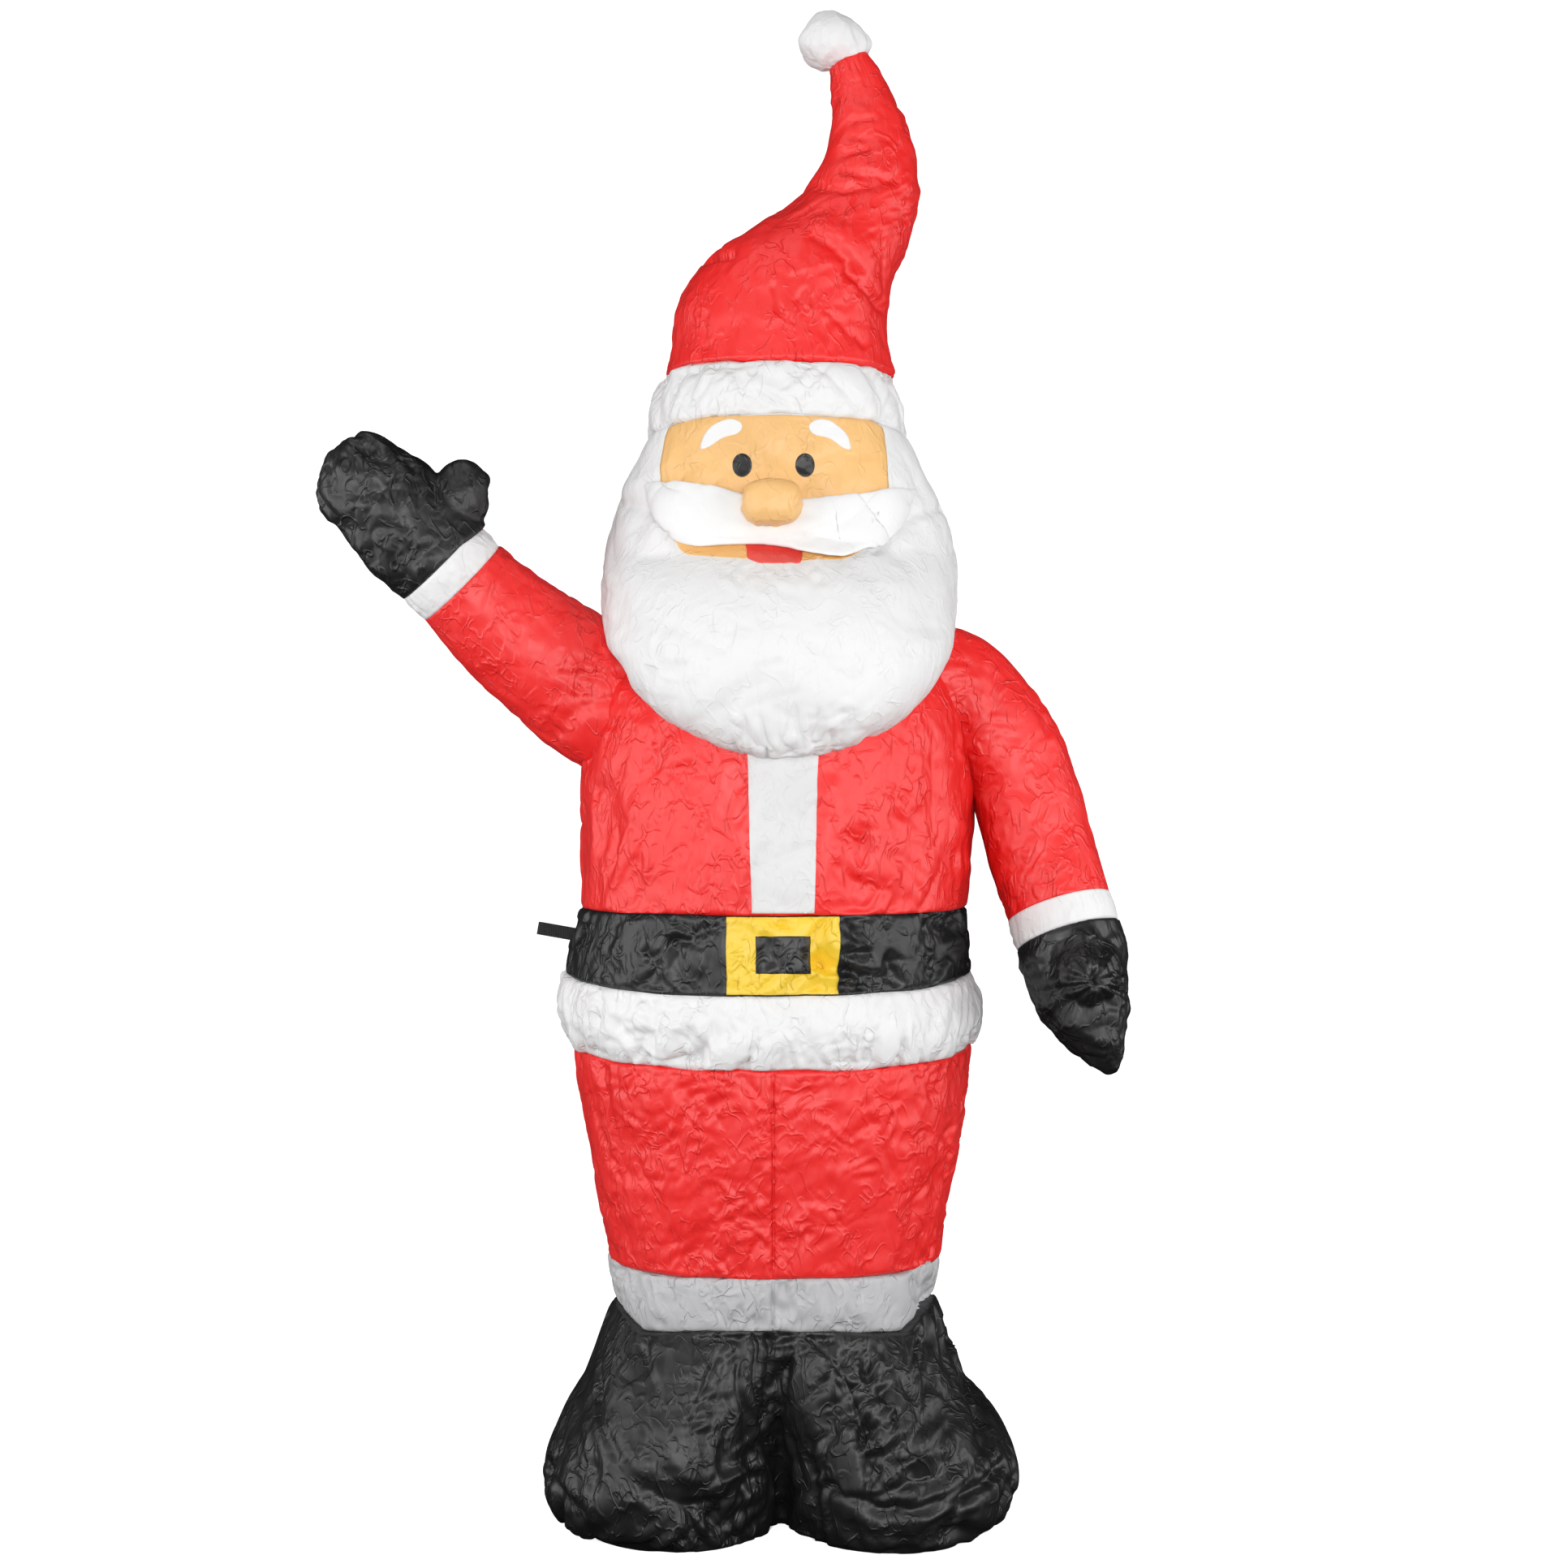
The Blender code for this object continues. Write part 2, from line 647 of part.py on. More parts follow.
def tether_loop(name, place, webbing, belt_tool):
    """A strip of webbing doubled back on itself, with both ends sewn to one side of the belt."""
    side, back, up, heading, rise = place
    half_width, half_depth, middle = through(BARREL, up)
    in_from_side = (1.0 - (back / half_depth) ** BODY_SQUARENESS) ** (1.0 / BODY_SQUARENESS)
    root = Vector((middle + side * half_width * in_from_side, back, up)) * MILLI
    out = Vector((math.cos(heading) * math.cos(rise), math.sin(heading) * math.cos(rise), math.sin(rise)))
    flat = UP.cross(out).normalized()
    height_way = out.cross(flat)
    inner_radius = TETHER_LOOP_OPENING / 2
    outer_radius = inner_radius + BELT_WEBBING_THICKNESS
    straight = TETHER_LOOP_LENGTH - outer_radius

    def track(radius, start):
        """The strip's edge: out along one leg, round the end, and back along the other."""
        turn = [
            (straight + radius * math.sin(a), -radius * math.cos(a))
            for a in spaced(math.radians(0.0), math.radians(180.0), 8)
        ]
        return [(start, -radius)] + turn + [(start, radius)]

    def block(block_name, radius, start, half_width_up):
        """One solid block with the outline of a track."""
        loops = [
            [root + out * far + flat * aside + height_way * up for far, aside in track(radius, start)]
            for up in (-half_width_up, half_width_up)
        ]
        return skin(block_name, loops, webbing)

    strip = block(name, outer_radius, -TETHER_EMBED, BELT_WEBBING_WIDTH / 2)
    eye = as_cutter(block(name + "_eye", inner_radius, BELT_WEBBING_THICKNESS, BELT_WEBBING_WIDTH))
    combine(strip, eye, "DIFFERENCE")
    return combine(strip, belt_tool, "DIFFERENCE")


def body(red, white, black):
    """Boots, hem, trousers, trim, belt and coat, from the ground up. Returns the coat and the belt."""
    skin("boots", boots_loops(), black)
    skin("trouser_hem", barrel_loops(HEM_FOOT, HEM_TOP, 3), white)
    skin("trousers", barrel_loops(HEM_TOP, TRIM_FOOT, 5), red)
    skin("coat_trim", barrel_loops(TRIM_FOOT, BELT_FOOT, 6, TRIM_BULGE), white)
    belt = skin("belt", barrel_loops(BELT_FOOT, BELT_TOP, 3), black)
    coat = skin("coat", barrel_loops(BELT_TOP, COAT_TOP, 11), red)
    return coat, belt


def panels(coat, belt, white, yellow):
    """The front band and the buckle, let in flush with the coat and the belt."""
    combine(coat, front_band_block("front_band_groove", white, SEAM_GAP), "DIFFERENCE")
    band = skin("front_band", barrel_loops(BELT_TOP, COAT_TOP, 11), white)
    combine(band, front_band_block("front_band_block", white, 0.0), "INTERSECT")
    combine(belt, buckle_block("buckle_groove", yellow, SEAM_GAP), "DIFFERENCE")
    buckle = skin("buckle", barrel_loops(BELT_FOOT, BELT_TOP, 3), yellow)
    combine(buckle, buckle_block("buckle_block", yellow, 0.0), "INTERSECT")


def head(coat_tool, white, skin_cloth):
    """The beard with the face panel let in, and the moustache and nose on it."""
    beard = skin("beard", head_loops(), white)
    head_tool = cutter_like(beard)
    reach = FACE_DEPTH * MILLI
    groove = prism("face_groove", face_outline(SEAM_GAP), -FIGURE_HEIGHT, reach + SEAM_GAP, skin_cloth)
    combine(beard, as_cutter(groove), "DIFFERENCE")
    combine(beard, coat_tool, "DIFFERENCE")
    face = skin("face", head_loops(), skin_cloth)
    panel = prism("face_block", face_outline(0.0), -FIGURE_HEIGHT, reach, skin_cloth)
    combine(face, as_cutter(panel), "INTERSECT")
    moustache = skin("moustache", moustache_loops(), white)
    nose = nose_solid(skin_cloth)
    combine(nose, cutter_like(moustache), "DIFFERENCE")
    combine(nose, head_tool, "DIFFERENCE")
    combine(moustache, head_tool, "DIFFERENCE")
    return head_tool


def hat(red, white):
    """Brim, hat and bobble."""
    skin("hat_brim", brim_loops(), white)
    skin("hat", hat_loops(), red)
    skin("bobble", bobble_loops(), white)


def arms(coat_tool, head_tool, red, white, black):
    """The raised right arm and the lowered left arm, each with cuff and mitten."""
    for side, arm in (("right", RIGHT_ARM), ("left", LEFT_ARM)):
        sleeve = skin(side + "_sleeve", sleeve_loops(arm), red)
        combine(sleeve, coat_tool, "DIFFERENCE")
        combine(sleeve, head_tool, "DIFFERENCE")
        skin(side + "_cuff", cuff_loops(arm), white)
    _, _, across, _ = arm_frame(RIGHT_ARM)
    mitten_solid("right_mitten", RIGHT_ARM, RIGHT_MITTEN, RIGHT_MITTEN_LENGTH, RIGHT_THUMB, across, black)
    _, _, _, behind = arm_frame(LEFT_ARM)
    mitten_solid("left_mitten", LEFT_ARM, LEFT_MITTEN, LEFT_MITTEN_LENGTH, LEFT_THUMB, -behind, black)


def build():
    """Makes every section of the figure."""
    clear_scene()
    red = fabric("red polyester", (0.72, 0.035, 0.035), 0.45)
    white = fabric("white polyester", (0.82, 0.82, 0.82), 0.5)
    black = fabric("black polyester", (0.02, 0.02, 0.021), 0.4)
    yellow = fabric("yellow polyester", (0.86, 0.62, 0.03), 0.45)
    skin_cloth = fabric("skin-coloured polyester", (0.88, 0.55, 0.27), 0.5)
    webbing = fabric("black webbing", (0.012, 0.012, 0.012), 0.75)
    coat, belt = body(red, white, black)
    panels(coat, belt, white, yellow)
    coat_tool = cutter_like(coat)
    belt_tool = cutter_like(belt)
    head_tool = head(coat_tool, white, skin_cloth)
    hat(red, white)
    arms(coat_tool, head_tool, red, white, black)
    tether_loop("right_tether_loop", RIGHT_TETHER, webbing, belt_tool)
    tether_loop("left_tether_loop", LEFT_TETHER, webbing, belt_tool)


build()
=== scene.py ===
"""The looks of an air-filled fabric Father Christmas, section by section.

Every section is a grid of points worked out from the figure's proportions. Its cloth is cut a little
larger than the form, held at the seams and pushed out by air, so it puckers and gathers as sewn cloth
does. Tables and paths are in thousandths of the figure's height, and MILLI turns them into metres. Folds,
reaches and panels are in metres. Right and left are the figure's own: its right hand is at -X.
"""

import math

import bpy
import numpy as np
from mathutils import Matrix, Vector


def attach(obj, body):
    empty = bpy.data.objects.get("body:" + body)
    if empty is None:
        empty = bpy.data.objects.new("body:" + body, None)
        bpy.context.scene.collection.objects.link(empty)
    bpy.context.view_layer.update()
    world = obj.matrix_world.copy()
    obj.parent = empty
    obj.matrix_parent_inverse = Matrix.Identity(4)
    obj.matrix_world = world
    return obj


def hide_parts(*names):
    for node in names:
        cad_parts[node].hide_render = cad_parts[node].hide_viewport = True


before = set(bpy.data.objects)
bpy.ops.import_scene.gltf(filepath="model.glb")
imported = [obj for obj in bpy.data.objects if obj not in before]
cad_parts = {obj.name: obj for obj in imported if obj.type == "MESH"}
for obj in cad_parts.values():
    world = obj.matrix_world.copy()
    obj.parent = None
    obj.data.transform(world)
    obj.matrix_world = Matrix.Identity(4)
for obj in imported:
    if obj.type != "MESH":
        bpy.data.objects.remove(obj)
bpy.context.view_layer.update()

FIGURE_HEIGHT = 2.40
MILLI = FIGURE_HEIGHT / 1000.0
TURN = 2.0 * math.pi

# Grids: columns round each section, length of a row, and how much closer the columns stand in front
BODY_COLUMNS = 480
HAT_COLUMNS = 320
ARM_COLUMNS = 192
BOBBLE_COLUMNS = 160
PALM_COLUMNS = 128
THUMB_COLUMNS = 96
ROW_LENGTH = 0.0044
FINE_ROW_LENGTH = 0.0036
FRONT_SHARE = 0.42

# Sewing: the most that a fold stands proud, how near a seam the cloth lies flat, the seed that all seams
# share, how deep a panel's back lies, and a distance for points that a path or a seam doesn't reach
OUT_LIMIT = 0.0035
FLAT_BY_SEAM = 0.007
SEAM_SEED = 11
PANEL_UNDER = 0.0008
OUT_OF_REACH = 9.0

# How square the ovals are: 2 is an ellipse, and more is squarer
BODY_SQUARENESS = 2.2
BOOT_SQUARENESS = 2.5
HEAD_SQUARENESS = 2.15

# Seams round the body: height, and rise for each length towards the back
HEM_FOOT = (135.4, 0.0)
HEM_TOP = (168.8, 0.0)
TRIM_FOOT = (310.4, 0.07)
BELT_FOOT = (359.2, 0.085)
BELT_TOP = (400.8, 0.01)
COAT_TOP = (600.0, 0.0)
BRIM_FOOT = (710.4, -0.10)
BRIM_TOP = (753.3, -0.02)

# The barrel of the body: height, half width, half depth, drift of its middle
BARREL = (
    (135.4, 104.2, 94.0, -0.6),
    (168.8, 109.2, 98.5, -0.7),
    (188.0, 111.9, 101.0, -0.7),
    (220.0, 117.3, 105.5, -0.7),
    (253.0, 123.3, 110.0, -0.8),
    (285.0, 128.7, 114.0, -1.2),
    (310.4, 131.5, 116.0, -1.8),
    (359.2, 134.4, 118.0, -5.0),
    (400.8, 127.7, 115.0, -1.0),
    (437.5, 130.6, 116.0, 1.8),
    (480.0, 130.6, 115.0, 2.2),
    (512.0, 128.0, 111.0, 2.2),
    (540.0, 120.5, 103.0, 2.0),
    (564.0, 107.0, 92.0, 2.0),
    (584.0, 87.0, 76.0, 2.0),
    (600.0, 58.0, 54.0, 2.0),
)
TRIM_BULGE = 7.4

# The boots: height, half width, middle, reach to the front, reach to the back, depth of the front cleft
BOOTS = (
    (0.0, 134.0, 4.2, 143.0, 102.0, 0.69),
    (5.0, 147.0, 4.2, 152.0, 113.0, 0.67),
    (18.5, 155.0, 4.0, 159.0, 119.5, 0.64),
    (35.5, 155.5, 3.8, 162.0, 121.0, 0.60),
    (54.0, 148.5, 3.2, 158.0, 119.0, 0.56),
    (71.0, 139.0, 1.8, 149.0, 115.0, 0.49),
    (87.5, 127.5, 0.6, 137.0, 110.5, 0.39),
    (104.0, 119.4, 0.3, 123.5, 104.0, 0.28),
    (121.0, 111.6, 0.0, 108.5, 100.0, 0.15),
    (135.4, 104.4, -0.6, 95.5, 94.5, 0.05),
)
CLEFT_HALF_ANGLE = math.radians(21.0)
BACK_CLEFT_SHARE = 0.35
CLEFT_PLACE = 4.0

# Paths across and up on the boots: the seam down each toe, the tuck over each sole, and a gathered spot
RIGHT_TOE_SEAM = (
    (-30.0, 133.0), (-39.0, 116.0), (-46.0, 100.0), (-51.5, 83.0), (-51.5, 62.0), (-44.0, 42.0), (-37.5, 22.0),
)
LEFT_TOE_SEAM = (
    (21.5, 133.0), (36.0, 119.0), (46.5, 103.5), (51.5, 88.0), (55.5, 65.0), (58.0, 42.0), (60.0, 22.0),
)
RIGHT_TUCK = ((-150.0, 40.0), (-126.0, 26.0), (-114.0, 8.0))
LEFT_TUCK = ((36.0, 40.0), (66.0, 30.0), (96.0, 30.0), (124.0, 38.0), (146.0, 46.0))
GATHERED_SPOT = ((-118.0, 46.0), (-117.0, 50.0))

# The head with its beard: height, half width, middle, front, back
HEAD = (
    (498.8, 13.0, 8.3, -124.0, -101.0),
    (504.0, 36.0, 8.0, -131.5, -80.0),
    (512.5, 57.0, 6.7, -137.5, -63.0),
    (525.0, 77.0, 5.8, -142.5, -46.0),
    (541.7, 93.5, 5.4, -145.8, -25.0),
    (558.3, 104.5, 5.0, -146.3, 0.0),
    (570.8, 111.0, 4.2, -144.6, 33.0),
    (583.3, 114.4, 3.8, -140.8, 71.0),
    (595.8, 116.3, 3.3, -134.2, 94.0),
    (608.3, 117.1, 3.3, -124.5, 102.0),
    (620.8, 117.7, 3.3, -109.0, 104.2),
    (631.3, 117.5, 3.3, -94.5, 103.8),
    (641.7, 116.3, 3.3, -90.5, 102.9),
    (658.3, 111.7, 3.3, -89.6, 100.0),
    (675.0, 105.0, 2.5, -88.8, 95.8),
    (691.7, 95.8, 2.1, -86.7, 89.6),
    (710.4, 85.4, 1.7, -84.2, 82.5),
)
HEAD_LEAN_FROM = 648.0

# Folds of the hair beside the moustache: depth, reach, and a path across and up
HAIR_FOLDS = (
    (0.006, 0.008, ((-105.0, 668.5), (-82.0, 659.5), (-66.0, 644.6))),
    (0.007, 0.009, ((113.0, 666.0), (87.6, 655.0), (63.8, 632.0))),
)
BEARD_TIP = ((-12.0, 512.0), (26.0, 512.0))
UNDER_MOUTH = ((-26.0, 613.0), (26.0, 613.0))

# The face: middles of the eyes, half size of an eye, and the outlines of an eyebrow and of the mouth
EYES = (("right_eye", -20.7), ("left_eye", 19.4))
EYE_HEIGHT = 685.2
EYE_HALF_SIZE = (6.2, 7.6)
EYEBROW = (
    (-47.6, 697.1), (-44.5, 706.5), (-36.6, 713.3), (-28.3, 715.4), (-22.2, 713.3), (-20.9, 709.3),
    (-24.5, 705.6), (-33.5, 703.2), (-41.3, 698.4),
)
MOUTH = (
    (17.3, 638.0), (0.0, 640.0), (-17.2, 638.0), (-17.6, 630.0), (-16.6, 624.4), (-10.0, 621.9),
    (2.0, 621.6), (14.0, 621.9), (17.0, 624.2), (17.6, 630.0),
)

# The hat: height, half width, half depth, sideways lean
HAT = (
    (753.3, 76.5, 71.0, 3.5),
    (772.5, 72.3, 67.0, 3.5),
    (789.0, 71.5, 64.5, 3.3),
    (805.0, 70.0, 62.0, 6.3),
    (821.0, 66.7, 58.5, 13.0),
    (837.5, 63.5, 52.0, 24.0),
    (853.8, 53.0, 43.0, 39.5),
    (870.0, 44.4, 37.5, 52.0),
    (886.3, 36.8, 33.0, 59.0),
    (902.5, 30.6, 28.5, 62.0),
    (918.8, 26.0, 25.0, 62.3),
    (935.0, 21.3, 21.0, 58.8),
    (951.3, 17.9, 17.9, 54.2),
    (967.0, 13.0, 13.5, 48.8),
)
HAT_END_TILT = 0.47
HAT_DRIFT_TO_BACK = 8.0
HAT_SLACK = (840.0, 900.0)

# Folds of the hat: depth, reach, and a path across and up. A negative depth is a ridge
HAT_FOLDS = (
    (0.016, 0.008, ((-58.0, 836.0), (-47.0, 832.0), (-40.0, 829.0), (-30.0, 829.0))),
    (0.010, 0.010, ((26.4, 839.0), (39.5, 831.0), (56.3, 813.0))),
    (-0.008, 0.011, ((30.0, 848.0), (47.4, 840.0), (62.0, 822.0))),
    (0.009, 0.008, ((47.9, 815.4), (58.4, 805.0), (70.0, 795.6))),
    (-0.004, 0.008, ((54.0, 822.0), (64.0, 811.0), (73.0, 802.0))),
    (0.007, 0.008, ((45.3, 885.6), (60.5, 882.5), (79.9, 878.8))),
    (0.008, 0.009, ((26.4, 876.7), (44.8, 872.0), (63.0, 876.2))),
    (0.005, 0.006, ((51.0, 921.0), (64.7, 922.3))),
    (0.005, 0.006, ((50.0, 909.7), (63.6, 907.1))),
    (0.006, 0.007, ((45.8, 898.2), (60.5, 901.8))),
    (0.004, 0.006, ((-0.8, 803.4), (3.9, 786.6))),
    (0.003, 0.006, ((18.6, 800.8), (15.4, 794.5))),
    (0.004, 0.007, ((36.9, 786.1), (57.3, 767.8))),
    (0.004, 0.007, ((-45.3, 786.1), (-46.9, 765.7))),
    (0.002, 0.0035, ((71.0, 841.0), (70.4, 800.0))),
)

# The brim: share of its height, half width, half depth
BRIM_MIDDLE = 1.6
BRIM = (
    (0.0, 85.0, 84.0),
    (0.2, 85.8, 85.2),
    (0.42, 84.8, 84.4),
    (0.62, 82.8, 82.3),
    (0.82, 80.0, 78.5),
    (1.0, 76.2, 71.5),
)

# The bobble: share of its length, radius, drift to the right-hand side
BOBBLE_LENGTH = 36.0
BOBBLE = (
    (0.0, 14.0, 0.0),
    (0.12, 19.0, 1.2),
    (0.32, 21.2, 3.5),
    (0.55, 20.8, 4.8),
    (0.76, 17.3, 5.5),
    (0.92, 10.3, 6.0),
    (1.0, 3.5, 6.0),
)

# An arm: its middle line across, to the back and up, and its half thickness
RIGHT_ARM = (
    (-75.0, -8.0, 519.0, 48.0),
    (-115.0, -8.5, 540.5, 46.8),
    (-139.0, -10.0, 557.5, 44.3),
    (-163.0, -13.5, 575.0, 41.4),
    (-185.5, -18.5, 594.0, 37.9),
    (-206.3, -24.5, 614.8, 34.3),
)
LEFT_ARM = (
    (84.0, -8.0, 560.0, 32.0),
    (114.5, -8.0, 548.5, 37.0),
    (141.5, -9.0, 523.5, 36.0),
    (158.5, -11.0, 496.5, 35.6),
    (167.8, -14.5, 469.0, 35.4),
    (175.8, -20.7, 438.0, 35.0),
    (186.5, -32.0, 401.0, 34.7),
)
CUFF_LENGTH = 19.3
CUFF_HALF_THICKNESS = 34.2
CUFF_BULGE = 0.8

# A mitten: share of its length, half across, half depth, drift across
RIGHT_MITTEN_LENGTH = 101.5
RIGHT_MITTEN = (
    (0.0, 34.6, 34.2, 0.0),
    (0.18, 37.0, 33.0, 1.0),
    (0.4, 37.2, 30.0, 1.5),
    (0.6, 35.4, 25.0, 2.8),
    (0.78, 33.0, 18.5, 1.0),
    (0.9, 25.3, 11.5, 3.5),
    (0.97, 15.5, 6.5, 5.5),
    (1.0, 7.0, 3.5, 6.5),
)
LEFT_MITTEN_LENGTH = 99.0
LEFT_MITTEN = (
    (0.0, 34.8, 34.6, 0.0),
    (0.18, 33.8, 36.0, 2.6),
    (0.42, 29.2, 36.0, 5.6),
    (0.62, 23.4, 33.0, 5.4),
    (0.8, 16.8, 26.0, 4.0),
    (0.94, 8.8, 15.0, 2.2),
    (1.0, 3.5, 6.0, 1.4),
)
# A thumb: how far along the mitten, how far out from its middle line, radius
RIGHT_THUMB = (
    (22.0, 20.0, 19.0),
    (22.5, 34.0, 19.0),
    (24.8, 46.0, 17.0),
    (27.8, 55.0, 11.5),
    (29.8, 61.0, 3.2),
)
LEFT_THUMB = (
    (30.0, 20.0, 20.0),
    (36.0, 33.0, 18.5),
    (42.0, 43.0, 14.0),
    (46.0, 49.0, 8.0),
    (47.0, 52.0, 2.8),
)

# The moustache flap: place across, height of its top edge and of its foot edge
MOUSTACHE = (
    (-85.5, 677.5, 674.5),
    (-84.0, 678.4, 668.0),
    (-76.7, 677.8, 654.9),
    (-65.8, 676.4, 639.9),
    (-49.9, 674.2, 631.1),
    (-33.2, 671.2, 630.8),
    (-17.2, 665.5, 631.2),
    (0.0, 661.0, 630.2),
    (8.0, 661.5, 628.6),
    (24.4, 663.5, 624.5),
    (36.0, 665.5, 623.3),
    (49.1, 667.6, 625.1),
    (70.3, 670.8, 636.0),
    (81.2, 672.5, 652.6),
    (89.0, 673.5, 666.0),
    (92.0, 673.8, 671.0),
)

# The face panel's side edges: height, and how far to the right-hand and to the left-hand side
FACE_EDGES = (
    (622.8, 2.0, 2.0),
    (624.0, 12.5, 28.5),
    (626.1, 35.6, 45.0),
    (628.4, 55.0, 51.0),
    (632.1, 60.4, 57.0),
    (639.3, 64.7, 64.0),
    (650.0, 70.0, 69.0),
    (660.0, 75.0, 71.0),
    (674.0, 76.9, 72.7),
    (708.0, 71.0, 71.0),
    (713.0, 69.5, 69.6),
    (716.0, 66.0, 66.0),
    (717.6, 60.0, 60.0),
)

NOSE_MIDDLE = (-1.4, -103.0, 660.0)
NOSE_HALF_SIZE = (19.0, 18.5, 14.8)
NOSE_SQUARENESS = 2.8
NOSE_END = 0.06
NOSE_RIM = 1.75

# The gathered point on the left mitten's front, and the seam that runs through it
MITTEN_POINT = (203.3, -100.0, 357.7)
MITTEN_SEAM = ((195.0, 394.0), (201.0, 384.3), (203.3, 357.7), (209.4, 347.3), (215.1, 315.3), (211.0, 300.0))
MITTEN_CELL = 0.0034

# The seams down the front, the buckle and the front band
MIDDLE_SEAM = -1.0
SEAM_HALF_WIDTH = 0.0017
SEAM_RISE = 0.0024
PANEL_MIDDLE = 5.3
BUCKLE_HALF_WIDTH = 0.085
BUCKLE_WINDOW_HALF_WIDTH = 0.041
BUCKLE_WINDOW_HALF_HEIGHT = 0.028
BAND_HALF_WIDTH_FOOT = 0.047
BAND_HALF_WIDTH_TOP = 0.056
BAND_TOP = 535.0

# The studio: its paper, the camera, and each light's place, size, the height it points to, and watts
STUDIO_RADIUS = 7.0
STUDIO_BEND = 1.5
STUDIO_HEIGHT = 6.0
STUDIO_COLUMNS = 96
CAMERA_PLACE = (0.0143, -4.5, 1.1575)
LENS = 64.5
LIGHTS = (
    ("key", (0.30, -4.5, 1.45), (1.0, 0.5), 1.2, 62.0),
    ("left fill", (-2.9, -3.4, 1.6), (1.4, 1.4), 1.2, 44.0),
    ("right fill", (2.9, -3.4, 1.6), (1.4, 1.4), 1.2, 47.0),
    ("top", (-0.8, -1.6, 4.6), (1.4, 1.4), 1.0, 16.0),
    ("left side", (-3.2, -0.6, 1.3), (1.5, 2.4), 1.2, 33.0),
    ("right side", (3.2, -0.6, 1.3), (1.5, 2.4), 1.2, 31.0),
)

UP = np.array((0.0, 0.0, 1.0))
BACK = np.array((0.0, 1.0, 0.0))
ACROSS = np.array((1.0, 0.0, 0.0))


# Numbers

def through(stations, at):
    """Reads a table at values of its first column: a cubic through its rows, with the slope of each
    row's two neighbours. Returns one array for each further column."""
    table = np.asarray(stations, float)
    key = table[:, 0]
    at = np.clip(np.asarray(at, float), key[0], key[-1])
    k = np.clip(np.searchsorted(key, at, side="left") - 1, 0, len(key) - 2)
    low, high = np.maximum(k - 1, 0), np.minimum(k + 2, len(key) - 1)
    span = key[k + 1] - key[k]
    t = (at - key[k]) / span
    here, there = table[k, 1:], table[k + 1, 1:]
    slope_here = (there - table[low, 1:]) / (key[k + 1] - key[low])[..., None] * span[..., None]
    slope_there = (table[high, 1:] - here) / (key[high] - key[k])[..., None] * span[..., None]
    t = t[..., None]
    values = (
        here * (2 * t**3 - 3 * t**2 + 1)
        + slope_here * (t**3 - 2 * t**2 + t)
        + there * (3 * t**2 - 2 * t**3)
        + slope_there * (t**3 - t**2)
    )
    return [values[..., c] for c in range(values.shape[-1])]


def blend(edge_low, edge_high, value):
    """Rises smoothly from 0 at one edge to 1 at the other: 3t^2 - 2t^3."""
    t = np.clip((value - edge_low) / (edge_high - edge_low), 0.0, 1.0)
    return t * t * (3.0 - 2.0 * t)


def bump_at(distance, reach):
    """1 at no distance, falling off as a bell: exp(-(distance / reach)^2)."""
    return np.exp(-((distance / reach) ** 2))


def unit(vectors):
    """Each vector divided by its length."""
    return vectors / np.maximum(np.linalg.norm(vectors, axis=-1, keepdims=True), 1e-9)


def scrambled(ix, iy, iz, seed):
    """A pseudo-random whole number for each lattice corner."""
    h = ix * np.uint32(374761393) + iy * np.uint32(668265263) + iz * np.uint32(2246822519)
    h = h + np.uint32(seed * 3266489917 & 0xFFFFFFFF)
    h = (h ^ (h >> np.uint32(15))) * np.uint32(2654435761)
    h = (h ^ (h >> np.uint32(13))) * np.uint32(1597334677)
    return h ^ (h >> np.uint32(16))


def noise(points, size, seed):
    """Gradient noise from about -1 to 1. Size is the length of one swell, one number or one for each axis."""
    p = np.asarray(points, np.float32) / np.asarray(size, np.float32) + np.float32(seed * 7.31 + 131.0)
    cell = np.floor(p)
    f = p - cell
    w = f * f * f * (f * (f * 6.0 - 15.0) + 10.0)
    cell = cell.astype(np.int64).astype(np.uint32)
    total = np.zeros(p.shape[:-1], np.float32)
    for corner in range(8):
        dx, dy, dz = corner & 1, (corner >> 1) & 1, corner >> 2
        h = scrambled(
            cell[..., 0] + np.uint32(dx), cell[..., 1] + np.uint32(dy), cell[..., 2] + np.uint32(dz), seed
        )
        slope_x = (h & np.uint32(1023)).astype(np.float32) / 511.5 - 1.0
        slope_y = ((h >> np.uint32(10)) & np.uint32(1023)).astype(np.float32) / 511.5 - 1.0
        slope_z = ((h >> np.uint32(20)) & np.uint32(1023)).astype(np.float32) / 511.5 - 1.0
        dot = slope_x * (f[..., 0] - dx) + slope_y * (f[..., 1] - dy) + slope_z * (f[..., 2] - dz)
        share = (w[..., 0] if dx else 1.0 - w[..., 0]) * (w[..., 1] if dy else 1.0 - w[..., 1])
        total += dot * share * (w[..., 2] if dz else 1.0 - w[..., 2])
    return total * 1.4


def warped(points, size, amount, seed):
    """The points, each moved by noise, so that a pattern on them wanders."""
    moves = [noise(points, size, seed + k) for k in range(3)]
    return points + amount * np.stack(moves, axis=-1)


def creases(points, size, seed):
    """Round swells with sharp valleys between them: the absolute value of noise, from 0 to about 1."""
    return np.abs(noise(points, size, seed))


def cloth_map(shape):
    """Where each point is on the cloth: how far round from the middle of the front, how far along, metres."""
    gaps = np.linalg.norm(np.roll(shape, -1, axis=1) - shape, axis=-1)
    round_it = np.cumsum(gaps, axis=1) - gaps
    step = np.linalg.norm(np.diff(shape, axis=0), axis=-1).mean(1)
    along = np.concatenate([[0.0], np.cumsum(step)])
    middle = round_it[:, shape.shape[1] // 2, None]
    return round_it - middle, np.broadcast_to(along[:, None], shape.shape[:2])


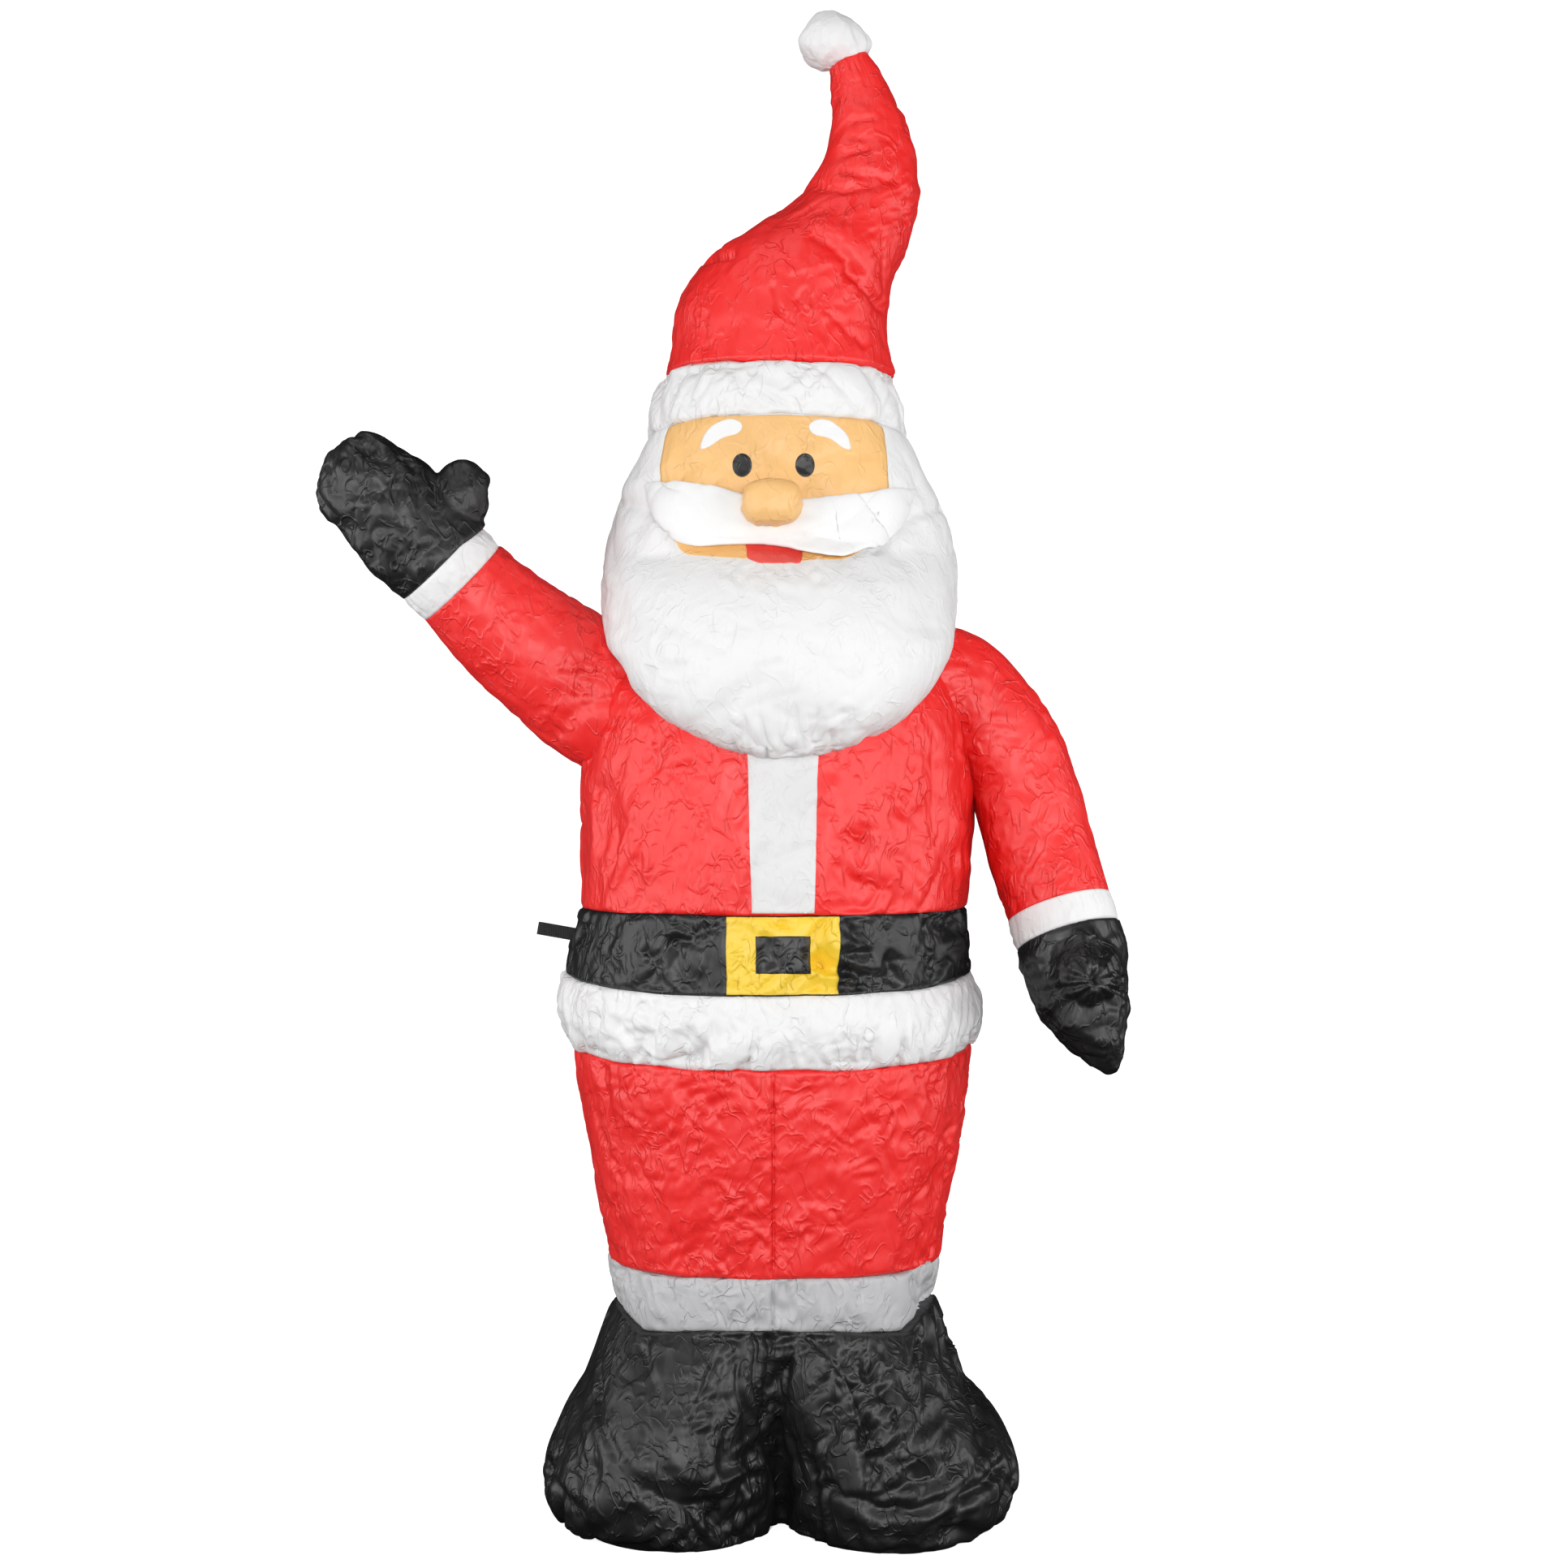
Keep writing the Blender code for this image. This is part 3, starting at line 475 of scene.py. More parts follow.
def on_cloth(c, s, seed):
    """Points for noise on flat cloth: each seed has a plane of its own."""
    return np.stack([c, s, np.full(np.shape(c), 0.37 + seed * 0.173)], -1)


def folded_marks(c, s, width, length, seed, ways=4):
    """The straight sharp creases that packed cloth keeps: absolute noise, stretched along each of several
    ways across the cloth, alternately a ridge and a valley, and only in patches. About -1 to 1."""
    total = np.zeros(np.shape(c))
    for k in range(ways):
        turn = math.pi * (k + 0.4 * math.sin(seed * 1.7 + k * 2.3)) / ways
        bend = noise(on_cloth(c, s, seed + k), (length, length, 1.0), seed + 40 + k) * width * 0.5
        u = c * math.cos(turn) + s * math.sin(turn) + bend
        v = s * math.cos(turn) - c * math.sin(turn)
        lines = np.abs(noise(on_cloth(u, v, seed + k), (width, length, 1.0), seed + k)) - 0.25
        patch = noise(on_cloth(c, s, seed + 9 * k), (length * 1.2, length * 1.2, 1.0), seed + 80 + k)
        total += (1.6 if k % 2 else -1.6) * lines * blend(-0.2, 0.3, patch)
    return total


def gathers(c, s, width, length, seed, slant=0.0):
    """Folds that run out from a seam: sharp valleys between round swells, wandering a little, and slanting."""
    bend = noise(on_cloth(c, s, seed), (width * 2.5, length, 1.0), seed + 5) * width * 0.45
    wide = np.abs(noise(on_cloth(c + slant * s + bend, s, seed), (width, length, 1.0), seed + 6)) - 0.25
    thin = np.abs(noise(on_cloth(c - 0.6 * slant * s + bend, s, seed), (width * 0.5, length * 0.6, 1.0), seed + 7))
    return wide + 0.4 * (thin - 0.25)


def crumple(points, size, seed):
    """The marks that folded cloth keeps: sharp ridges and sharp valleys in all directions.
    Absolute noise taken from absolute noise, at two sizes, on wandering points, about -1 to 1."""
    moved = warped(points, size * 1.7, size * 0.5, seed + 50)
    large = creases(moved, size, seed) - creases(moved, size * 1.1, seed + 1)
    small = creases(moved, size * 0.47, seed + 2) - creases(moved, size * 0.5, seed + 3)
    return large + 0.45 * small


# Cloth

def normals_of(points):
    """Outward normals of a grid whose columns run round and whose rows run up or out:
    the way round crossed with the way along."""
    way_round = np.roll(points, -1, axis=1) - np.roll(points, 1, axis=1)
    way_along = np.empty_like(points)
    way_along[1:-1] = points[2:] - points[:-2]
    way_along[0] = points[1] - points[0]
    way_along[-1] = points[-1] - points[-2]
    return unit(np.cross(way_round, way_along))


# Meshes

def mesh_of(name, points, faces, material, uv=None):
    """A closed mesh from points and faces, smooth, with the cloth's own map in metres."""
    mesh = bpy.data.meshes.new(name)
    sizes = np.concatenate([np.full(len(f), f.shape[1]) for f in faces])
    corners = np.concatenate([f.reshape(-1) for f in faces]).astype(np.int32)
    mesh.vertices.add(len(points))
    mesh.vertices.foreach_set("co", np.ascontiguousarray(points, np.float32).reshape(-1))
    mesh.loops.add(len(corners))
    mesh.loops.foreach_set("vertex_index", corners)
    mesh.polygons.add(len(sizes))
    mesh.polygons.foreach_set("loop_start", (np.cumsum(sizes) - sizes).astype(np.int32))
    if uv is not None:
        layer = mesh.uv_layers.new(name="cloth")
        layer.data.foreach_set("uv", uv[corners].astype(np.float32).reshape(-1))
    mesh.update(calc_edges=True)
    mesh.validate()
    mesh.shade_smooth()
    mesh.materials.append(material)
    piece = bpy.data.objects.new(name, mesh)
    bpy.context.scene.collection.objects.link(piece)
    return piece


def grid_faces(rows, columns):
    """Four-cornered faces of a grid that closes round its columns."""
    i, j = np.meshgrid(np.arange(rows - 1), np.arange(columns), indexing="ij")
    after = (j + 1) % columns
    quads = np.stack([i * columns + j, i * columns + after, (i + 1) * columns + after, (i + 1) * columns + j], -1)
    return quads.reshape(-1, 4)


def tube(name, points, material):
    """A grid closed round its columns, with a fan over each end. Its map is the way round from the first
    column, to either side, and the way along."""
    rows, columns = points.shape[:2]
    every = np.concatenate([points.reshape(-1, 3), points[0].mean(0)[None], points[-1].mean(0)[None]])
    j = np.arange(columns)
    after = (j + 1) % columns
    foot_fan = np.stack([np.full(columns, rows * columns), after, j], -1)
    last = (rows - 1) * columns
    top_fan = np.stack([np.full(columns, rows * columns + 1), last + j, last + after], -1)
    step = np.linalg.norm(np.diff(points, axis=0), axis=-1).mean(1)
    along_map = np.concatenate([[0.0], np.cumsum(step)])
    gaps = np.linalg.norm(np.roll(points, -1, axis=1) - points, axis=-1)
    gaps = gaps[gaps.sum(1).argmax()]
    u = np.cumsum(gaps) - gaps
    u = np.minimum(u, gaps.sum() - u)
    uv = np.stack(np.broadcast_arrays(u[None, :], along_map[:, None]), -1).reshape(-1, 2)
    uv = np.concatenate([uv, [[0.0, 0.0], [0.0, along_map[-1]]]])
    return mesh_of(name, every, (grid_faces(rows, columns), foot_fan, top_fan), material, uv)


def dress(piece, slot, *nodes, fill=None):
    """The piece rides on the figure and stands for its CAD nodes, which are hidden. The slot only tells red cloth
    from the rest: red cloth is kept out of the gloss of the black cloth beside it, which would turn dark red in
    patches."""
    piece.visible_glossy = slot != "red_cloth"
    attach(piece, "root")
    if nodes:
        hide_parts(*nodes)
    return piece


# Forms

def oval_reach(angle, squareness):
    """How far an oval of half size 1 reaches at an angle: (|cos|^q + |sin|^q)^(-1/q)."""
    return (np.abs(np.cos(angle)) ** squareness + np.abs(np.sin(angle)) ** squareness) ** (-1.0 / squareness)


def column_angles(columns):
    """Angles of the columns, the first at the back, closer together in front: t + k sin(2 pi t) / (2 pi)."""
    t = np.arange(columns) / columns
    return TURN / 4 + TURN * t + FRONT_SHARE * np.sin(TURN * t)


def even_keys(stations, step):
    """Values of a table's first column so that the profile runs about a step between them."""
    fine = np.linspace(stations[0][0], stations[-1][0], 600)
    values = np.stack([fine] + through(stations, fine), -1)[:, :3] * MILLI
    run = np.concatenate([[0.0], np.cumsum(np.linalg.norm(np.diff(values, axis=0), axis=-1))])
    count = max(int(run[-1] / step) // 2 * 2 + 1, 5)
    return np.interp(np.linspace(0.0, run[-1], count), run, fine)


def level_rings(height, half_width, half_depth, middle, toward_back, lean, squareness):
    """Rings round the body, one for each height: an oval whose plane rises by lean towards the back."""
    angle = column_angles(BODY_COLUMNS)[None, :]
    reach = oval_reach(angle, squareness)
    x = middle[:, None] + half_width[:, None] * reach * np.cos(angle)
    y_out = half_depth[:, None] * reach * np.sin(angle)
    z = height[:, None] + lean[:, None] * y_out
    return np.stack([x, toward_back[:, None] + y_out, z], -1) * MILLI


def barrel_form(foot, top, swell=0.0, step=ROW_LENGTH):
    """One section of the barrel between two seams, swelling between them by sin(pi share)^0.7."""
    count = max(int((top[0] - foot[0]) * MILLI / step) // 2 * 2 + 1, 9)
    share = np.linspace(0.0, 1.0, count)
    height = foot[0] + (top[0] - foot[0]) * share
    lean = foot[1] + (top[1] - foot[1]) * share
    half_width, half_depth, middle = through(BARREL, height)
    out = swell * np.sin(np.pi * share) ** 0.7
    rings = level_rings(
        height, half_width + out, half_depth + out, middle, np.zeros(count), lean, BODY_SQUARENESS
    )

    def section(at):
        """The oval at a height: half width, half depth, middle, way to the back and lean."""
        wide, deep, mid = through(BARREL, at)
        part = (at - foot[0]) / (top[0] - foot[0])
        return wide, deep, mid, np.zeros_like(at), foot[1] + (top[1] - foot[1]) * part

    return {"points": rings, "keys": height, "section": section, "squareness": BODY_SQUARENESS}


def head_form():
    """The head and beard: ovals whose front and back each have their own reach."""
    keys = even_keys(HEAD, ROW_LENGTH * 1.1)

    def section(at):
        """The oval at a height: half width, half depth, middle, way to the back and lean."""
        wide, mid, front, back = through(HEAD, at)
        part = np.clip((at - HEAD_LEAN_FROM) / (BRIM_FOOT[0] - HEAD_LEAN_FROM), 0.0, 1.0)
        return wide, (back - front) / 2, mid, (back + front) / 2, BRIM_FOOT[1] * part

    wide, deep, mid, toward_back, lean = section(keys)
    rings = level_rings(keys, wide, deep, mid, toward_back, lean, HEAD_SQUARENESS)
    return {"points": rings, "keys": keys, "section": section, "squareness": HEAD_SQUARENESS}


def brim_form():
    """The white roll round the hat."""
    share = np.linspace(0.0, 1.0, 31)
    wide, deep = through(BRIM, share)
    height = BRIM_FOOT[0] + (BRIM_TOP[0] - BRIM_FOOT[0]) * share
    lean = BRIM_FOOT[1] + (BRIM_TOP[1] - BRIM_FOOT[1]) * share
    middle = np.full(share.shape, BRIM_MIDDLE)
    return level_rings(height, wide, deep, middle, np.zeros(share.shape), lean, BODY_SQUARENESS)


def boots_form():
    """Two round boots sewn side by side: an oval whose radius is cut by a cleft in front and behind."""
    keys = even_keys(BOOTS, ROW_LENGTH)
    wide, middle, front, back, cleft = (v[:, None] for v in through(BOOTS, keys))
    angle = column_angles(BODY_COLUMNS)[None, :]
    c, s = np.cos(angle), np.sin(angle)
    reach = np.where(s < 0.0, front, back)
    radius = ((np.abs(c) / wide) ** BOOT_SQUARENESS + (np.abs(s) / reach) ** BOOT_SQUARENESS) ** (
        -1.0 / BOOT_SQUARENESS
    )
    off_middle = np.arccos(np.minimum(np.abs(s), 1.0)) / CLEFT_HALF_ANGLE
    depth = np.where(s < 0.0, cleft, cleft * BACK_CLEFT_SHARE)
    radius = radius * (1.0 - depth * np.exp(-(off_middle**1.5)))
    height = np.broadcast_to(keys[:, None], radius.shape)
    return np.stack([middle + radius * c, radius * s, height], -1) * MILLI


def hat_form():
    """The hat, which narrows, leans to one side and curls at its tip. The rings tilt by a share^4."""
    keys = even_keys(HAT, ROW_LENGTH)
    wide, deep, aside = through(HAT, keys)
    share = (keys - HAT[0][0]) / (HAT[-1][0] - HAT[0][0])
    angle = column_angles(HAT_COLUMNS)
    reach = oval_reach(angle, BODY_SQUARENESS)
    middle = np.stack([aside, HAT_DRIFT_TO_BACK * share**2, keys], -1)
    way_wide = ACROSS + UP * (HAT_END_TILT * share**4)[:, None]
    way_deep = BACK + UP * (BRIM_TOP[1] * (1.0 - share))[:, None]
    out_wide = (wide[:, None] * (reach * np.cos(angle))[None, :])[..., None] * way_wide[:, None]
    out_deep = (deep[:, None] * (reach * np.sin(angle))[None, :])[..., None] * way_deep[:, None]
    return (middle[:, None] + out_wide + out_deep) * MILLI


def rings_along(middles, radii_wide, radii_deep, way_wide, way_deep, columns):
    """Ovals round the points of a line, from their half sizes and the ways across and behind."""
    angle = column_angles(columns)[None, :, None]
    wide = radii_wide[:, None, None] * np.cos(angle) * way_wide[:, None]
    deep = radii_deep[:, None, None] * np.sin(angle) * way_deep[:, None]
    return (middles[:, None] + wide + deep) * MILLI


def arm_frame(arm):
    """Where an arm ends, the way it points there, the way across it and the way behind it."""
    end, before = np.array(arm[-1][:3]), np.array(arm[-2][:3])
    along = unit(end - before)
    across = unit(np.cross(BACK, along))
    return end, along, across, np.cross(along, across)


def sleeve_form(arm):
    """A round sleeve along a smooth line through the arm's points, each ring square to it."""
    stations = [(float(k), *row) for k, row in enumerate(arm)]
    fine = np.linspace(0.0, len(arm) - 1.0, 400)
    line = np.stack(through(stations, fine)[:3], -1) * MILLI
    run = np.concatenate([[0.0], np.cumsum(np.linalg.norm(np.diff(line, axis=0), axis=-1))])
    count = int(run[-1] / ROW_LENGTH) // 2 * 2 + 1
    at = np.interp(np.linspace(0.0, run[-1], count), run, fine)
    x, y, z, radius = through(stations, at)
    middles = np.stack([x, y, z], -1)
    along = unit(np.gradient(middles, axis=0))
    _, end_along, _, _ = arm_frame(arm)
    along = unit(along + (end_along - along) * blend(0.85, 1.0, np.linspace(0, 1, count))[:, None])
    across = unit(np.cross(BACK, along))
    return rings_along(middles, radius, radius, across, np.cross(along, across), ARM_COLUMNS)


def cuff_form(arm):
    """The white cuff between sleeve and mitten, slightly full."""
    wrist, along, across, behind = arm_frame(arm)
    share = np.linspace(0.0, 1.0, 13)
    radius = arm[-1][3] + (CUFF_HALF_THICKNESS - arm[-1][3]) * share + np.sin(np.pi * share) * CUFF_BULGE
    middles = wrist + along * (share * CUFF_LENGTH)[:, None]
    ones = np.ones((len(share), 1))
    return rings_along(middles, radius, radius, ones * across, ones * behind, ARM_COLUMNS)


def swept_form(root, along, across, behind, stations, length, columns, step):
    """A mitten's palm or the bobble: ovals along a straight line, each drifting across it."""
    keys = even_keys([(k * length, a, b, d) for k, a, b, d in stations], step)
    share = keys / length
    wide, deep, drift = through(stations, share)
    middles = root + along * keys[:, None] + across * drift[:, None]
    ones = np.ones((len(keys), 1))
    return rings_along(middles, wide, deep, ones * across, ones * behind, columns)


def thumb_form(root, along, side, stations):
    """A thumb: round rings square to the way from its root to its tip."""
    keys = np.arange(len(stations), dtype=float)
    at = np.linspace(0.0, keys[-1], 33)
    far, out, radius = through([(k, *row) for k, row in zip(keys, stations)], at)
    way = along * (stations[-1][0] - stations[0][0]) + side * (stations[-1][1] - stations[0][1])
    flat = np.cross(along, side)
    broad = np.cross(unit(way), flat)
    middles = root + along * far[:, None] + side * out[:, None]
    ones = np.ones((len(at), 1))
    return rings_along(middles, radius, radius, ones * broad, ones * flat, THUMB_COLUMNS)


# Sewing: how each section is held, gathered and creased

def runs(points):
    """How far each row is along the cloth from the first row and from the last."""
    step = np.linalg.norm(np.diff(points, axis=0), axis=-1).mean(1)
    run = np.concatenate([[0.0], np.cumsum(step)])
    return run[:, None], (run[-1] - run)[:, None]


def sewn_edge(ring, pull):
    """A seam ring, drawn in by the thread, and a little uneven. Both sections at a seam get the same ring."""
    middle = ring.mean(0)
    outward = unit((ring - middle) * (1.0, 1.0, 0.0))
    uneven = noise(ring, 0.035, SEAM_SEED)[:, None]
    rise = noise(ring, 0.08, SEAM_SEED + 1)[:, None] * UP
    return ring - outward * pull * (1.0 + 0.5 * uneven) + rise * pull * 0.8


def path_distance(points, path):
    """Distance in the front view from each point to a path given across and up, in thousandths.
    Points behind the figure's middle are far from it."""
    flat = points[..., (0, 2)]
    path = np.asarray(path, float) * MILLI
    best = np.full(flat.shape[:-1], OUT_OF_REACH)
    for a, b in zip(path[:-1], path[1:]):
        way = b - a
        t = np.clip(((flat - a) @ way) / (way @ way), 0.0, 1.0)
        best = np.minimum(best, np.linalg.norm(flat - a - t[..., None] * way, axis=-1))
    return np.where(points[..., 1] < 0.0, best, OUT_OF_REACH)


def drawn_folds(points, folds):
    """Folds given as a depth, a reach and a path: each falls off as a bell beside its path."""
    return -sum(depth * bump_at(path_distance(points, path), reach) for depth, reach, path in folds)


def section_cloth(
    shape, seed, foot, top, marks, mark_width, small=0.6, slant=0.0, pull=(0.003, 0.003), seams=(),
    dents=None, hold_ends=(True, True),
):
    """One section of cloth between two seams: the form, moved along its normals by its folds.
    foot and top are the gathers there: their height, how far they reach and how wide a fold is. slant
    leans them. marks and mark_width are the height and width of the creases from packing, and small is the
    share of the small ones. seams are (distance, depth, height of the puckers, reach) of seams inside the
    section, and dents are added as they are. pull is how far the thread draws in each end. Everything
    fades out at the seam in the middle of the back."""
    from_foot, from_top = runs(shape)
    c, s = cloth_map(shape)
    half_girth = np.abs(c[:, :1])
    clear_of_back = blend(0.0, 0.02, half_girth - np.abs(c))
    rise = np.zeros(shape.shape[:2])
    for (height, reach, width), distance, shift in ((foot, from_foot, 0), (top, from_top, 7)):
        fade = np.exp(-distance / reach) * (0.35 + 0.65 * blend(0.0, 0.010, distance))
        folds = gathers(c, s, width, reach * 2.4, seed + shift, slant if shift else -slant)
        uneven = 0.65 + 0.9 * noise(on_cloth(c, s * 0, seed + shift), (width * 4.0, 1.0, 1.0), seed + shift + 2)
        rise += height * 2.4 * folds * fade * np.clip(uneven, 0.15, 1.5)
    for distance, depth, height, reach in seams:
        near = np.exp(-distance / reach) * blend(0.0, 0.004, distance)
        puckers = noise(on_cloth(c * 0.6, s, seed + 23), (0.05, 0.013, 1.0), seed + 24)
        rise += height * puckers * near - depth * bump_at(distance, 0.0035)
    patches = np.clip(0.7 + 0.9 * noise(on_cloth(c, s, seed + 33), (0.17, 0.17, 1.0), seed + 37), 0.15, 1.4)
    rise += marks * folded_marks(c, s, mark_width, mark_width * 2.6, seed + 41) * patches
    rise += marks * small * folded_marks(c, s, mark_width * 0.38, mark_width * 1.1, seed + 61) * patches
    if dents is not None:
        rise += dents
    rise = np.where(rise > 0.0, OUT_LIMIT * np.tanh(rise / OUT_LIMIT), rise)
    ends = np.ones(shape.shape[:2])
    if hold_ends[0]:
        ends = ends * blend(0.0, FLAT_BY_SEAM, from_foot)
    if hold_ends[1]:
        ends = ends * blend(0.0, FLAT_BY_SEAM, from_top)
    cloth = shape + normals_of(shape) * (rise * ends * clear_of_back)[..., None]
    if hold_ends[0]:
        cloth[0] = sewn_edge(shape[0], pull[0])
    if hold_ends[1]:
        cloth[-1] = sewn_edge(shape[-1], pull[1])
    return cloth


# Finishes

def node_with(nodes, kind, operation=None, **settings):
    """A shader node with some of its inputs set."""
    node = nodes.new(kind)
    if operation:
        node.operation = operation
    for place, value in settings.items():
        node.inputs[place.replace("_", " ")].default_value = value
    return node


def sums(nodes, links, operation, first, second):
    """A maths node on two outputs, or on an output and a number."""
    node = node_with(nodes, "ShaderNodeMath", operation)
    for k, value in enumerate((first, second)):
        if isinstance(value, float):
            node.inputs[k].default_value = value
        else:
            links.new(value, node.inputs[k])
    return node.outputs["Value"]


def off_middle(nodes, links, place, turn, stretch, scale, wander):
    """The absolute difference of noise from its middle value: 0 along lines that wander over the cloth."""
    turned = nodes.new("ShaderNodeMapping")
    turned.inputs["Rotation"].default_value = (0.4 * turn, turn, 0.7 * turn)
    turned.inputs["Scale"].default_value = (1.0, 1.0, stretch)
    links.new(place, turned.inputs["Vector"])
    field = node_with(nodes, "ShaderNodeTexNoise", Scale=scale, Detail=1.0, Roughness=0.4, Distortion=wander)
    links.new(turned.outputs["Vector"], field.inputs["Vector"])
    return sums(nodes, links, "ABSOLUTE", sums(nodes, links, "SUBTRACT", field.outputs["Fac"], 0.5), 0.0)


def fabric(name, colour, roughness=0.48, vary=0.05, crinkle=1.0, weave=0.25, specular=0.95):
    """Thin woven polyester: soft dents, thin sharp creases in patches, and the weave on the cloth's map."""
    material = bpy.data.materials.new(name)
    material.use_nodes = True
    material.diffuse_color = (*colour, 1.0)
    nodes, links = material.node_tree.nodes, material.node_tree.links
    shader = nodes["Principled BSDF"]
    shader.inputs["Specular IOR Level"].default_value = specular
    place = nodes.new("ShaderNodeTexCoord")
    on_piece = place.outputs["Object"]

    shade = node_with(nodes, "ShaderNodeTexNoise", Scale=7.0, Detail=5.0, Roughness=0.6)
    links.new(on_piece, shade.inputs["Vector"])
    ramp = nodes.new("ShaderNodeValToRGB")
    ramp.color_ramp.elements[0].position = 0.3
    ramp.color_ramp.elements[0].color = (*(c * (1.0 - vary) for c in colour), 1.0)
    ramp.color_ramp.elements[1].position = 0.7
    ramp.color_ramp.elements[1].color = (*(min(c * (1.0 + vary), 1.0) for c in colour), 1.0)
    links.new(shade.outputs["Fac"], ramp.inputs["Fac"])
    links.new(ramp.outputs["Color"], shader.inputs["Base Color"])
    gloss = node_with(
        nodes, "ShaderNodeMapRange", From_Min=0.3, From_Max=0.7, To_Min=roughness - 0.04, To_Max=roughness + 0.06
    )
    links.new(shade.outputs["Fac"], gloss.inputs["Value"])
    links.new(gloss.outputs["Result"], shader.inputs["Roughness"])

    dents = sums(
        nodes, links, "SUBTRACT", off_middle(nodes, links, on_piece, 0.6, 0.55, 13.0, 0.5),
        off_middle(nodes, links, on_piece, -0.9, 0.5, 19.0, 0.6),
    )
    soft = node_with(nodes, "ShaderNodeBump", Strength=1.0, Distance=0.0085 * crinkle)
    links.new(dents, soft.inputs["Height"])

    lines = None
    for turn, stretch, scale in ((0.5, 0.6, 24.0), (-0.8, 0.55, 31.0), (1.6, 0.7, 41.0)):
        far = off_middle(nodes, links, on_piece, turn, stretch, scale, 0.7)
        line = node_with(nodes, "ShaderNodeMapRange", From_Min=0.0, From_Max=0.06, To_Min=1.0, To_Max=0.0)
        line.interpolation_type = "SMOOTHSTEP"
        links.new(far, line.inputs["Value"])
        patch = node_with(nodes, "ShaderNodeTexNoise", Scale=scale * 0.7, Detail=1.0)
        patch.noise_dimensions = "4D"
        patch.inputs["W"].default_value = turn * 7.0
        links.new(on_piece, patch.inputs["Vector"])
        mask = node_with(nodes, "ShaderNodeMapRange", From_Min=0.47, From_Max=0.6)
        links.new(patch.outputs["Fac"], mask.inputs["Value"])
        held = sums(nodes, links, "MULTIPLY", line.outputs["Result"], mask.outputs["Result"])
        lines = held if lines is None else sums(nodes, links, "ADD", lines, held)
    sharp = node_with(nodes, "ShaderNodeBump", Strength=1.0, Distance=0.0014 * crinkle)
    links.new(lines, sharp.inputs["Height"])
    links.new(soft.outputs["Normal"], sharp.inputs["Normal"])

    threads_up = node_with(nodes, "ShaderNodeTexWave", Scale=260.0)
    threads_across = node_with(nodes, "ShaderNodeTexWave", Scale=260.0)
    threads_across.bands_direction = "Y"
    links.new(place.outputs["UV"], threads_up.inputs["Vector"])
    links.new(place.outputs["UV"], threads_across.inputs["Vector"])
    both = sums(nodes, links, "MULTIPLY", threads_up.outputs["Fac"], threads_across.outputs["Fac"])
    woven = node_with(nodes, "ShaderNodeBump", Strength=weave, Distance=0.00015)
    links.new(both, woven.inputs["Height"])
    links.new(sharp.outputs["Normal"], woven.inputs["Normal"])
    links.new(woven.outputs["Normal"], shader.inputs["Normal"])
    return material


def webbing(name, colour):
    """Ribbed belt webbing: fine ribs across the strap and a dull surface, its colour darker in the ribs' dips as
    painted shade and lighter on their tops as painted light.
    """
    material = bpy.data.materials.new(name)
    material.use_nodes = True
    material.diffuse_color = (*colour, 1.0)
    nodes, links = material.node_tree.nodes, material.node_tree.links
    shader = nodes["Principled BSDF"]
    shader.inputs["Base Color"].default_value = (*colour, 1.0)
    shader.inputs["Roughness"].default_value = 0.7
    place = nodes.new("ShaderNodeTexCoord")
    ribs = nodes.new("ShaderNodeTexWave")
    ribs.inputs["Scale"].default_value = 160.0
    ribs.inputs["Distortion"].default_value = 0.4
    links.new(place.outputs["Object"], ribs.inputs["Vector"])
    bump = nodes.new("ShaderNodeBump")
    bump.inputs["Strength"].default_value = 0.8
    bump.inputs["Distance"].default_value = 0.0006
    links.new(ribs.outputs["Fac"], bump.inputs["Height"])
    links.new(bump.outputs["Normal"], shader.inputs["Normal"])
    # Painted shade and painted light: the colour follows the ribs' height, dark in the dips and light on the tops.
    ramp = nodes.new("ShaderNodeValToRGB")
    ramp.color_ramp.elements[0].color = (*(c * 0.5 for c in colour), 1.0)
    ramp.color_ramp.elements[1].color = (*(c * 2.2 for c in colour), 1.0)
    links.new(ribs.outputs["Fac"], ramp.inputs["Fac"])
    links.new(ramp.outputs["Color"], shader.inputs["Base Color"])
    return material


# Panels sewn on to a section

def on_front(form, cloth, across, up):
    """The place and the normal of a section's blown-up front, at places across and up in metres.
    The oval at a height is solved for its angle from the place across, and both are read off the grid."""
    squareness = form["squareness"]
    angles = np.linspace(TURN / 2, TURN, 721)
    shares = oval_reach(angles, squareness) * np.cos(angles)
    across, up = np.broadcast_arrays(np.asarray(across, float), np.asarray(up, float))
    height = up / MILLI
    for _ in range(5):
        wide, deep, middle, toward_back, lean = form["section"](height)
        angle = np.interp((across / MILLI - middle) / wide, shares, angles)
        out = deep * oval_reach(angle, squareness) * np.sin(angle)
        height = up / MILLI - lean * out
    rows, columns = cloth.shape[:2]
    row = np.interp(height, form["keys"], np.arange(rows, dtype=float))
    column = np.interp(angle, column_angles(columns), np.arange(columns, dtype=float))
    low = np.clip(np.floor(row).astype(int), 0, rows - 2)
    left = np.floor(column).astype(int) % columns
    s, t = (column - np.floor(column))[..., None], (row - low)[..., None]
    right = (left + 1) % columns

    def read(grid):
        """Reads a grid between its points."""
        lower = grid[low, left] * (1 - s) + grid[low, right] * s
        upper = grid[low + 1, left] * (1 - s) + grid[low + 1, right] * s
        return lower * (1 - t) + upper * t

    return read(cloth), unit(read(normals_of(cloth)))


def edge_profile(share, rise, edge):
    """How proud a panel stands from its middle, 0, to its edge, 1."""
    return rise - (rise - edge) * np.abs(share) ** 10


